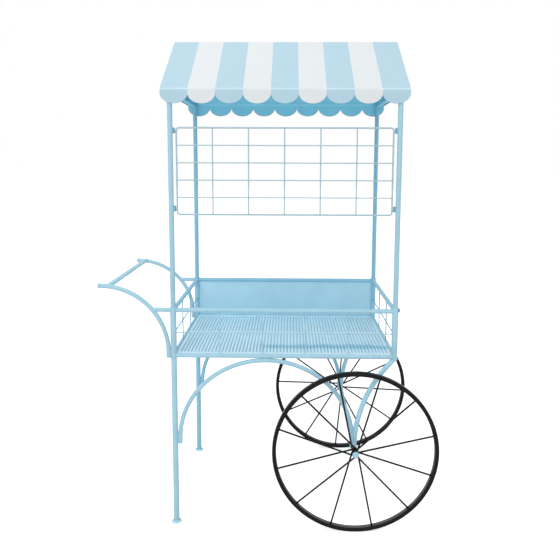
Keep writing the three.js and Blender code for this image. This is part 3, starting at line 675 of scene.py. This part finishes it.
leg = {"radius": 10.5, "top": 637.0, "foot": 5.6, "lip": 0.6, "weldSize": 1.5, "weldDown": 0.2}
foot = {"profile": [(0, 0), (18.8, 0), (18.8, 3.2), (14.1, 5.4), (11.1, 6.6), (8.3, 6.6), (8.3, 28),
                    (0, 28)], "rounding": 1.1}
for endName, y, outward in ends:
    # the feet take the pale coat, as painted light
    disc = lathe(softened(foot["profile"], foot["rounding"], closed=False), (-postX, y, 0),
                 (0, 0, 1))
    makePart(f"foot_{endName}", disc, coat["bright"])
    bar = tube([(-postX, y, leg["foot"]), (-postX, y, leg["top"])], leg["radius"], leg["lip"])
    makePart(f"leg_{endName}", bar, coat[endName])
    welds.append(weldRound((-postX, y, cornerPost["foot"] - leg["weldDown"]), (0, 0, 1),
                           leg["radius"], leg["weldSize"]))

# Axle, arches and struts

axle = {"x": 261.0, "z": 301.5, "radius": 9.0, "journal": 6.0, "shoulder": 24.7, "end": 69.5,
        "rounding": 0.7}
rearHalf = [(0, rearY + axle["end"]), (axle["journal"], rearY + axle["end"]),
            (axle["journal"], rearY + axle["shoulder"]), (axle["radius"], rearY + axle["shoulder"])]
profile = softened(mirrored(rearHalf, rearY), axle["rounding"], 3, closed=False)
makePiece("axleTube", lathe(profile, (axle["x"], 0, axle["z"]), (0, 1, 0)), coat["front"], ["axle"])

arch = {"radius": 8.0, "right": 253.0, "left": -381.2, "spring": 329.5, "rise": 299.2, "end": 309.5,
        "steps": 56, "lip": 1.6}
strut = {"radius": 9.25, "start": 261.0, "bend": 473.7, "top": 636.7, "steps": 30}
middleX = (arch["left"] + arch["right"]) / 2
halfSpan = (arch["right"] - arch["left"]) / 2
# a pair of beads ties each arch to its leg, and a pair ties its crown to the rail above
legX = arch["left"] - 8.2
archWelds = {"across": 2.5,
             "leg": ((legX, arch["end"] + 1.0), (legX, arch["spring"] + 24.0), 1.6),
             "crown": ((middleX - 14.0, 636.9), (middleX + 14.0, 636.9), 1.5)}
# over the axle, arch and strut start and are welded at these heights, and a seam joins the two
fork = {"barStart": 9.0, "weldStart": 12.0, "weldSize": 1.4, "seamStart": 13.0, "seamSize": 1.3}
strutHead = {"swell": 0.2, "down": 0.4, "weldSize": 1.5}
centreX = strut["start"] + strut["bend"]
for endName, y, outward in ends:
    path = [(arch["right"], y, axle["z"] + fork["barStart"]), (arch["right"], y, arch["spring"])]
    for step in range(1, arch["steps"] + 1):
        angle = math.pi * step / arch["steps"]
        path.append(onBend(middleX, arch["spring"], halfSpan, arch["rise"], angle, y))
    path.append((arch["left"], y, arch["end"]))
    toAxle = ontoBar((axle["x"], y, axle["z"]), (0, 1, 0), axle["radius"])
    bar = tube(path, arch["radius"], arch["lip"], startCope=toAxle)
    makePart(f"arch_{endName}", bar, coat[endName])
    weldZ = axle["z"] + fork["weldStart"]
    welds.append(weldRound((arch["right"], y, weldZ), (0, 0, -1), arch["radius"], fork["weldSize"],
                           toAxle))
    weldBothSides(y, archWelds["across"], archWelds["leg"], archWelds["crown"])

    sweepAngle = math.asin((strut["top"] - axle["z"]) / strut["bend"])
    path = [(strut["start"], y, axle["z"] + fork["barStart"])]
    for step in range(1, strut["steps"]):
        angle = math.pi - sweepAngle * step / strut["steps"]
        point = onBend(centreX, axle["z"], strut["bend"], strut["bend"], angle, y)
        if point[2] > weldZ:
            path.append(point)
    bar = tube(path, strut["radius"], startCope=toAxle, endCope=ontoLevel(strut["top"]))
    makePart(f"strut_{endName}", bar, coat["strut"])
    welds.append(weldRound((strut["start"], y, weldZ), (0, 0, -1), strut["radius"],
                           fork["weldSize"], toAxle))
    welds.append(weldRound(path[-1], Vector(path[-1]) - Vector(path[-2]),
                           strut["radius"] + strutHead["swell"], strutHead["weldSize"],
                           ontoLevel(strut["top"] - strutHead["down"])))

    # the seam where the strut's foot lies on the arch: up the front, over the fork, down the back
    seam = []
    z = axle["z"] + fork["seamStart"]
    while True:
        lift = max((z - arch["spring"]) / arch["rise"], 0)
        archX = middleX + halfSpan * math.sqrt(max(1 - lift ** 2, 0))
        strutX = centreX - math.sqrt(strut["bend"] ** 2 - (z - axle["z"]) ** 2)
        apart = strutX - archX
        if apart > arch["radius"] + strut["radius"]:
            break
        reach = (apart ** 2 + arch["radius"] ** 2 - strut["radius"] ** 2) / (2 * apart)
        seam.append((archX + reach, math.sqrt(arch["radius"] ** 2 - reach ** 2), z))
        z += welding["stepLength"]
    points = [Vector((x, y - depth, z)) for x, depth, z in seam]
    points += [Vector((x, y + depth, z)) for x, depth, z in seam[::-1]]
    welds.append(bead(points, fork["seamSize"], closed=False))
print("legs, axle, arches and struts made")

# Wheels

wheel = {"radius": 301.5, "lip": 287.0, "web": 298.5, "half": 9.5, "wall": 3.0, "setOut": 45.0,
         "roll": 2.5, "groove": 1.6, "rimRounding": 1.3, "segments": 160,
         "hubHalf": 20.0, "flange": 12.5, "flangeSpan": (8.0, 15.0), "barrel": 9.0, "bore": 6.3,
         "hubRounding": 0.9}
# rootWeld and tipWeld: how far from the spoke's end, and the share of weldSpread there
spokes = {"radius": 3.25, "sides": 18, "count": 12, "firstAngle": {"front": 13.0, "rear": 26.4},
          "aside": 8.5, "foot": 4.3, "intoWeb": 0.6, "weldSpread": 1.6,
          "rootWeld": [(0, 0.1), (3.4, 0.1), (4.6, 0.05), (6.5, 0)],
          "tipWeld": [(5.2, 0), (3.4, 0.15), (1.8, 0.6), (0.4, 1), (0, 1.1)]}
cap = {"profile": [(6.4, 0.3), (11.9, 0.3), (12.3, 0.9), (12.3, 2.7), (11.7, 4.3), (10.2, 5.8),
                   (7.6, 7.1), (4.2, 7.8), (0, 8.0), (0, 4.5), (6.4, 4.5)]}
for endName, y, outward in ends:
    planeY = y + outward * wheel["setOut"]
    middle = Vector((axle["x"], planeY, axle["z"]))
    half, inside = wheel["half"], wheel["half"] - wheel["wall"]
    # each cheek is rolled to a shallow groove between two rounded edges
    cheek = [(wheel["lip"], half), (wheel["lip"] + wheel["roll"], half),
             (wheel["lip"] + wheel["roll"] + wheel["groove"], half - wheel["groove"]),
             (wheel["radius"] - wheel["roll"] - wheel["groove"], half - wheel["groove"]),
             (wheel["radius"] - wheel["roll"], half), (wheel["radius"], half)]
    channel = mirrored(cheek)
    channel += [(wheel["lip"], inside), (wheel["web"], inside), (wheel["web"], -inside),
                (wheel["lip"], -inside)]
    rim = lathe(softened(channel, wheel["rimRounding"]), middle, (0, 1, 0), wheel["segments"],
                loop=True)
    finishes = []
    # faces inside the channel take the grey coat, as painted light; the rest stay black
    for face in rim[1]:
        places = [rim[0][corner] for corner in face]
        spread = max(abs(place.y - planeY) for place in places)
        reach = max(math.dist(place, (middle.x, place.y, middle.z)) for place in places)
        inChannel = spread < inside + 0.1 and reach < wheel["radius"] - 0.1
        finishes.append(coat["channel"] if inChannel else coat["black"])
    makePart(f"rim_{endName}", rim, coat["black"], f"wheel_{endName}", finishes)

    hubHalf = wheel["hubHalf"]
    flangeIn, flangeOut = wheel["flangeSpan"]
    outerHalf = [(wheel["bore"], hubHalf), (wheel["barrel"], hubHalf),
                 (wheel["barrel"], flangeOut), (wheel["flange"], flangeOut),
                 (wheel["flange"], flangeIn), (wheel["barrel"], flangeIn)]
    shapes = [lathe(softened(mirrored(outerHalf), wheel["hubRounding"], 3), middle, (0, 1, 0),
                    loop=True)]
    tipReach = wheel["web"] + spokes["intoWeb"]
    for number in range(spokes["count"]):
        # the spokes pass the hub on one side and the other by turns
        side = -outward if number % 2 == 0 else outward
        angle = math.radians(spokes["firstAngle"][endName] + 360 / spokes["count"] * number)
        angle += side * math.asin(spokes["aside"] / tipReach)
        ray = Vector((math.cos(angle), 0, math.sin(angle)))
        line = middle + Vector((math.sin(angle), 0, -math.cos(angle))) * side * spokes["aside"]
        root = line + ray * spokes["foot"] + Vector((0, side * (flangeIn + flangeOut) / 2, 0))
        tip = line + ray * math.sqrt(tipReach ** 2 - spokes["aside"] ** 2)
        run = (tip - root).normalized()
        length = (tip - root).length
        stops = spokes["rootWeld"] + [(length / 2, 0)]
        stops += [(length - back, weld) for back, weld in spokes["tipWeld"]]
        radii = [spokes["radius"] + spokes["weldSpread"] * weld for along, weld in stops]
        shapes.append(sweep([root + run * along for along, weld in stops], radii, spokes["sides"]))
    makePart(f"spoked_hub_{endName}", joinShapes(shapes), coat["black"], f"wheel_{endName}")

    capMiddle = (axle["x"], y + outward * (wheel["setOut"] + hubHalf), axle["z"])
    dome = lathe(cap["profile"], capMiddle, (0, outward, 0), loop=True)
    makePart(f"axle_cap_{endName}", dome, coat["front"])
print("wheels made")

# Handle

arm = {"radius": 8.0, "x": -419.3, "foot": 637.0, "bendStart": 658.0, "bend": 242.0, "steps": 40,
       "lip": 0.5}
armWelds = {"across": 3.0, "line": ((-411.2, 640.0), (-411.2, 664.0), 1.8)}
knob = {"profile": [(0, 0), (8.0, 0), (8.1, 0.8), (9.1, 2.0), (9.5, 3.8), (9.5, 5.6), (9.0, 7.4),
                    (7.8, 9.0), (5.6, 10.3), (2.9, 10.9), (0, 11.0)], "segments": 40}
grip = {"radius": 9.0, "x": -631.3, "z": 901.1, "inset": 5.0, "lip": 1.2, "weldRadius": 8.2,
        "weldSize": 1.0, "weldIn": 7.2, "weldDown": 1.5}
bendX = arm["x"] - arm["bend"]
tieZ = rail["levels"]["top"]
lift = tieZ - arm["bendStart"]
tieX = bendX + math.sqrt(arm["bend"] ** 2 - lift ** 2)
for endName, y, outward in ends:
    path = [(arm["x"], y, arm["foot"])]
    for step in range(arm["steps"] + 1):
        angle = math.pi / 2 * step / arm["steps"]
        path.append(onBend(bendX, arm["bendStart"], arm["bend"], arm["bend"], angle, y))
    makePart(f"handle_arm_{endName}", tube(path, arm["radius"], arm["lip"]), coat["front"])
    ball = lathe(knob["profile"], (bendX, y, arm["bendStart"] + arm["bend"]), (-1, 0, 0),
                 knob["segments"])
    makePart(f"handle_knob_{endName}", ball, coat["front"])
    weldBothSides(y, armWelds["across"], armWelds["line"])

    toArm = ontoBar((tieX, y, tieZ), (-lift, 0, tieX - bendX), arm["radius"])
    tie = weldedRail((tieX + rail["offPost"], y, tieZ), (-postX - rail["offPost"], y, tieZ),
                     toArm, ontoPost(-postX, y, tieZ))
    makePart(f"handle_tie_{endName}", tie, coat["front"])

# the grip takes the pale coat, as painted light on its top
bar = tube([(grip["x"], grip["inset"], grip["z"]), (grip["x"], rearY - grip["inset"], grip["z"])],
           grip["radius"], grip["lip"])
makePart("handle_grip", bar, coat["bright"])
for endName, y, outward in ends:
    welds.append(weldRound((grip["x"], y - outward * grip["weldIn"], grip["z"] - grip["weldDown"]),
                           (0, outward, 0), grip["weldRadius"], grip["weldSize"]))
print("handle made")

# Canopy

canopyPost = {"radius": 9.0, "foot": 745.0, "top": 1570.0, "weldRadius": 7.8, "weldSize": 1.4}
canopyRail = {"radius": 8.0, "z": 1586.9, "reach": 9.0, "lip": 1.0}
# the rear canopy posts take the deeper coat as painted shade
canopyCoats = {"front": coat["front"], "rear": coat["post"]}
for sideName, x in sides:
    for endName, y, outward in ends:
        toRail = ontoBar((x, y, canopyRail["z"]), (0, 1, 0), canopyRail["radius"])
        top = (x, y, canopyPost["top"])
        bar = tube([(x, y, canopyPost["foot"]), top], canopyPost["radius"], endCope=toRail)
        makePart(f"canopy_post_{endName}_{sideName}", bar, canopyCoats[endName])
        welds.append(weldRound(top, (0, 0, 1), canopyPost["weldRadius"], canopyPost["weldSize"],
                               toRail))
    bar = tube([(x, -canopyRail["reach"], canopyRail["z"]),
                (x, rearY + canopyRail["reach"], canopyRail["z"])],
               canopyRail["radius"], canopyRail["lip"])
    makePart(f"canopy_rail_{sideName}", bar, coat["shade"])

roof = {"halfX": 431.5, "front": -12.0, "eave": 1595.0, "ridge": 1807.0, "thickness": 1.5,
        "foldCut": 3.5, "foldSteps": 5, "cusp": 1581.0, "scallopDepth": 35.0, "scallops": 9,
        "columns": 16, "valanceRows": 8, "slopeRows": 12, "splitOver": 60.0}
stripes = [coat["blueStripe"], coat["whiteStripe"]]
scallopWidth = 2 * roof["halfX"] / roof["scallops"]


# one skin of the sheet seen from the side: up from the front cusps, over the ridge and down again
def roofOutline(inset):
    rear = rearY - roof["front"]
    middle = rearY / 2
    slope = math.atan2(roof["ridge"] - roof["eave"], middle - roof["front"])
    lower = inset * (1 / math.cos(slope))
    eaveZ = roof["eave"] + inset * math.tan(slope) - lower
    nearY, farY = roof["front"] + inset, rear - inset
    bend = softened([(nearY, roof["cusp"]), (nearY, eaveZ), (middle, roof["ridge"] - lower),
                     (farY, eaveZ), (farY, roof["cusp"])], roof["foldCut"], roof["foldSteps"],
                    closed=False)
    rows = [bend[0]]
    for here, ahead in zip(bend, bend[1:]):
        parts = roof["slopeRows"] if math.dist(here, ahead) > roof["splitOver"] else 1
        rows += [tuple(a + (b - a) * i / parts for a, b in zip(here, ahead))
                 for i in range(1, parts + 1)]
    return rows


def scallopMiddle(scallop):
    return -roof["halfX"] + (scallop + 0.5) * scallopWidth


def roofSheet():
    columns = []
    for scallop in range(roof["scallops"]):
        for step in range(roof["columns"] + (scallop == roof["scallops"] - 1)):
            angle = math.pi * (1 - step / roof["columns"])
            columns.append((scallopMiddle(scallop) + scallopWidth / 2 * math.cos(angle),
                            roof["scallopDepth"] * math.sin(angle), scallop))
    skins = []
    hang = roof["valanceRows"]
    for inset in (0, roof["thickness"]):
        rows = roofOutline(inset)
        grid = []
        for x, drop, scallop in columns:
            line = [(x, rows[0][0], roof["cusp"] - drop * (1 - i / hang)) for i in range(hang)]
            line += [(x, y, z) for y, z in rows]
            line += [(x, rows[-1][0], roof["cusp"] - drop * i / hang) for i in range(1, hang + 1)]
            grid.append(line)
        skins.append(grid)
    corners, faces, finishes, index = [], [], [], {}

    # corners at the same place are one corner, and a face that shrinks to a line is left out
    def addFace(places, finish):
        ring = []
        for place in places:
            key = tuple(round(v, 4) for v in place)
            if key not in index:
                index[key] = len(corners)
                corners.append(key)
            if index[key] not in ring:
                ring.append(index[key])
        if len(ring) > 2:
            faces.append(ring)
            finishes.append(finish)

    outer, inner = skins
    rowCount = len(outer[0])
    for i in range(len(columns) - 1):
        finish = stripes[columns[i][2] % 2]
        for j in range(rowCount - 1):
            # faces along the eaves' folds take the pale fold coats, as a painted highlight
            fromEave = max(abs(outer[i][k][2] - roof["eave"]) for k in (j, j + 1))
            onFold = fromEave < roof["foldCut"] + 0.2
            addFace([outer[i][j], outer[i + 1][j], outer[i + 1][j + 1], outer[i][j + 1]],
                    coat["fold"] if onFold and finish is coat["blueStripe"] else finish)
            under = coat["under"] if inner[i][j][2] > roof["eave"] else coat["valance"]
            addFace([inner[i][j], inner[i][j + 1], inner[i + 1][j + 1], inner[i + 1][j]],
                    coat["innerFold"] if onFold else under)
        for j in (0, rowCount - 1):
            addFace([outer[i][j], inner[i][j], inner[i + 1][j], outer[i + 1][j]], finish)
    for i in (0, len(columns) - 1):
        for j in range(rowCount - 1):
            addFace([outer[i][j], outer[i][j + 1], inner[i][j + 1], inner[i][j]], stripes[0])
    return (corners, faces), finishes


shape, finishes = roofSheet()
makePart("roof_sheet", shape, coat["blueStripe"], faceFinishes=finishes)

# the rolled edge of each scallop
hem = {"radius": 1.6, "sides": 10, "steps": 24, "gap": 0.8}
shapes, finishes = [], []
for endName, y, outward in ends:
    edgeY = y + outward * (-roof["front"] - roof["thickness"] / 2)
    for scallop in range(roof["scallops"]):
        path = []
        for step in range(hem["steps"] + 1):
            angle = math.pi * (1 - step / hem["steps"])
            path.append(onBend(scallopMiddle(scallop), roof["cusp"], scallopWidth / 2 - hem["gap"],
                               -roof["scallopDepth"], angle, edgeY))
        edge = sweep(path, [hem["radius"]] * len(path), hem["sides"])
        shapes.append(edge)
        finishes += [stripes[scallop % 2]] * len(edge[1])
makePiece("valanceEdges", joinShapes(shapes), coat["blueStripe"], faceFinishes=finishes)

gable = {"thickness": 1.5, "front": -10.2, "rear": 610.2, "foot": 1589.5, "underSheet": 0.1,
         "belowEave": 2.5, "edge": 0.3}
slopes = [(y, z) for y, z in roofOutline(roof["thickness"] + gable["underSheet"])
          if z > roof["eave"] - gable["belowEave"] and gable["front"] < y < gable["rear"]]
gableOutline = [(gable["front"], gable["foot"]), *slopes, (gable["rear"], gable["foot"])]
faceX = roof["halfX"] - gable["thickness"]
for sideName, x in sides:
    sign = math.copysign(1, x)
    sheet = extruded(gableOutline, lambda u, v, w: (sign * (faceX + w), u, v),
                     gable["thickness"] - 0.1, gable["edge"])
    makePart(f"gable_{sideName}", sheet, coat["blueStripe"])
print("canopy made")

# Hanging grid and its hooks

grid = {"halfX": 378.3, "low": 1159.5, "high": 1462.3, "corner": 10.0, "cornerSteps": 8,
        "frame": 3.0, "upright": 2.25, "cross": 2.0, "crossY": -3.3, "crossPast": 1.0, "columns": 6,
        "rows": 5, "frameSides": 16, "wireSides": 14, "weldSize": 0.8, "weldIn": 0.2,
        "nugget": (2.4, 2.2), "endNugget": (2.6, 2.4)}
loop = []
for turn, (signX, signZ) in enumerate(((1, 1), (-1, 1), (-1, -1), (1, -1))):
    centreX = signX * (grid["halfX"] - grid["corner"])
    centreZ = grid["high"] - grid["corner"] if signZ > 0 else grid["low"] + grid["corner"]
    for step in range(grid["cornerSteps"] + 1):
        angle = (turn + step / grid["cornerSteps"]) * math.pi / 2
        loop.append(onBend(centreX, centreZ, grid["corner"], grid["corner"], angle))
shapes = [sweep(loop, [grid["frame"]] * len(loop), grid["frameSides"], closed=True)]
crossZ = [grid["low"] + (grid["high"] - grid["low"]) * i / grid["rows"]
          for i in range(1, grid["rows"])]
for column in range(1, grid["columns"]):
    x = -grid["halfX"] + 2 * grid["halfX"] * column / grid["columns"]
    shapes.append(sweep([(x, 0, grid["low"]), (x, 0, grid["high"])], [grid["upright"]] * 2,
                        grid["wireSides"]))
    for z, up in ((grid["low"], 1), (grid["high"], -1)):
        shapes.append(weldRound((x, 0, z + up * (grid["frame"] + grid["weldIn"])), (0, 0, 1),
                                grid["upright"], grid["weldSize"]))
    for z in crossZ:
        shapes.append(nugget((x, grid["crossY"] / 2, z), (0, 1, 0), *grid["nugget"]))
reach = grid["halfX"] + grid["crossPast"]
for z in crossZ:
    shapes.append(sweep([(-reach, grid["crossY"], z), (reach, grid["crossY"], z)],
                        [grid["cross"]] * 2, grid["wireSides"]))
    for x in (-grid["halfX"], grid["halfX"]):
        shapes.append(nugget((x, grid["crossY"] / 2, z), (0, 1, 0), *grid["endNugget"]))
makePiece("hangingGrid", joinShapes(shapes), coat["grid"], ["grid_panel"], "grid")

pins = {"heights": {"upper": 1449.0, "lower": 1176.5}, "start": 380.8, "end": 388.3, "radius": 2.0,
        "edge": 0.5, "sides": 16, "weldSize": 0.7}
hook = {"inner": 383.2, "outer": 391.0, "half": 2.5, "wall": 2.5, "floor": 4.0, "clear": 2.3,
        "lip": 16.0, "rounding": 1.1, "edge": 0.45}
hookWelds = {"x": 391.2, "across": 5.0, "down": 3.0, "up": 11.0, "size": 1.1}
for sideName, x in sides:
    sign = math.copysign(1, x)
    for heightName, z in pins["heights"].items():
        pin = tube([(sign * pins["start"], 0, z), (sign * pins["end"], 0, z)], pins["radius"],
                   pins["edge"], pins["sides"])
        collar = weldRound((sign * (grid["halfX"] + grid["frame"]), 0, z), (sign, 0, 0),
                           pins["radius"], pins["weldSize"])
        makePart(f"grid_pin_{heightName}_{sideName}", joinShapes([pin, collar]), coat["grid"],
                 "grid")
        half, wide = hook["half"], hook["half"] + hook["wall"]
        low = z - hook["clear"]
        lip = low + hook["lip"]
        outline = softened([(-wide, low - hook["floor"]), (wide, low - hook["floor"]), (wide, lip),
                            (half, lip), (half, low), (-half, low), (-half, lip), (-wide, lip)],
                           hook["rounding"], 3)
        block = extruded(outline, lambda u, v, w: (sign * (hook["inner"] + w), u, v),
                         hook["outer"] - hook["inner"], hook["edge"])
        makePart(f"grid_hook_{heightName}_{sideName}", block, coat["hook"])
        weldX = sign * hookWelds["x"]
        weldBothSides(0, hookWelds["across"], ((weldX, low - hookWelds["down"]),
                                               (weldX, low + hookWelds["up"]), hookWelds["size"]))
print("hanging grid made")

makePiece("frameWelds", joinShapes(welds), coat["front"])
print("welds made")

# Floor, light and camera

studio = {"floorSize": 60.0, "floorWhite": "#F4F4F4", "fibre": 0.4, "fibreDrift": 0.01,
          "floorGlow": 0.55, "worldLight": 0.66, "white": 1.0}
floorMesh = bpy.data.meshes.new("studioFloor")
reach = studio["floorSize"] / 2
floorMesh.from_pydata([(-reach, -reach, 0), (reach, -reach, 0), (reach, reach, 0),
                       (-reach, reach, 0)], [], [(0, 1, 2, 3)])
floorPiece = bpy.data.objects.new("studioFloor", floorMesh)
bpy.context.scene.collection.objects.link(floorPiece)


# 1 for what the camera, a gloss or a clear piece sees, 0 for the light itself
def seenDirectly(tree):
    rays = addNode(tree, "LightPath")
    first = addNode(tree, "Math", {0: rays.outputs["Is Camera Ray"],
                                   1: rays.outputs["Is Glossy Ray"]}, operation="MAXIMUM")
    return addNode(tree, "Math", {0: first, 1: rays.outputs["Is Transmission Ray"]},
                   operation="MAXIMUM")


# Matt white paper roll: it glows a little towards the camera, so that it ends in the same white as
# the backdrop and keeps only a faint shadow.
floorMaterial, tree = newMaterial("whitePaperRoll")
place = addNode(tree, "TexCoord").outputs["Object"]
fibre = addNode(tree, "TexNoise",
                {"Vector": place, "Scale": 1 / studio["fibre"], "Detail": 4.0}).outputs["Fac"]
tone = addNode(tree, "MapRange", {"Value": fibre, "To Min": 1 - studio["fibreDrift"],
                                  "To Max": 1 + studio["fibreDrift"]})
colour = addNode(tree, "VectorMath", {0: linear(studio["floorWhite"]), "Scale": tone},
                 operation="SCALE")
paper = addNode(tree, "BsdfDiffuse", {"Color": colour, "Roughness": 0.0})
glowLevel = addNode(tree, "Math", {0: seenDirectly(tree), 1: studio["floorGlow"]},
                    operation="MULTIPLY")
glow = addNode(tree, "Emission", {"Strength": glowLevel})
both = addNode(tree, "AddShader", {0: paper, 1: glow})
addNode(tree, "OutputMaterial", {"Surface": both})
floorMesh.materials.append(floorMaterial)

world = bpy.data.worlds.new("studioWorld")
bpy.context.scene.world = world
world.use_nodes = True
tree = world.node_tree
tree.nodes.clear()
level = addNode(tree, "MapRange", {"Value": seenDirectly(tree), "To Min": studio["worldLight"],
                                   "To Max": studio["white"]})
sky = addNode(tree, "Background", {"Color": (1, 1, 1, 1), "Strength": level})
addNode(tree, "OutputWorld", {"Surface": sky})

# soft boxes: a broad one high in front, and a weaker one over the cart
lampTarget = Vector((0.0, 0.0, 0.9))
lamps = {
    "frontSoftbox": {"place": (-1.1, -5.9, 6.9), "size": 6.0, "power": 290.0},
    "topSoftbox": {"place": (-1.4, -0.6, 5.0), "size": 3.0, "power": 26.0},
}
for lampName, lamp in lamps.items():
    light = bpy.data.lights.new(lampName, "AREA")
    light.shape = "SQUARE"
    light.size = lamp["size"]
    light.energy = lamp["power"]
    holder = bpy.data.objects.new(lampName, light)
    holder.location = lamp["place"]
    aim = lampTarget - Vector(lamp["place"])
    holder.rotation_euler = aim.to_track_quat("-Z", "Y").to_euler()
    holder.visible_camera = False
    bpy.context.scene.collection.objects.link(holder)

view = {"place": (0.07168, -2.52878, 1.34286), "pitch": 7.144, "yaw": -1.0454, "roll": 0.1835,
        "lens": 40.66, "sensor": 36.0, "shiftX": 0.0046, "shiftY": -0.0682}
pitch, yaw, roll = (math.radians(view[name]) for name in ("pitch", "yaw", "roll"))
forward = Vector((math.sin(yaw) * math.cos(pitch), math.cos(yaw) * math.cos(pitch),
                  -math.sin(pitch)))
right = Vector((math.cos(yaw), -math.sin(yaw), 0))
up = right.cross(forward)
tiltedRight = right * math.cos(roll) + up * math.sin(roll)
tiltedUp = up * math.cos(roll) - right * math.sin(roll)
cameraData = bpy.data.cameras.new("studioCamera")
cameraData.lens = view["lens"]
cameraData.sensor_width = view["sensor"]
cameraData.sensor_fit = "HORIZONTAL"
cameraData.shift_x = view["shiftX"]
cameraData.shift_y = view["shiftY"]
camera = bpy.data.objects.new("studioCamera", cameraData)
turn = Matrix((tiltedRight, tiltedUp, -forward)).transposed()
camera.matrix_world = Matrix.Translation(view["place"]) @ turn.to_4x4()
bpy.context.scene.collection.objects.link(camera)
bpy.context.scene.camera = camera
bpy.context.scene.view_settings.view_transform = "Standard"
print("studio made")
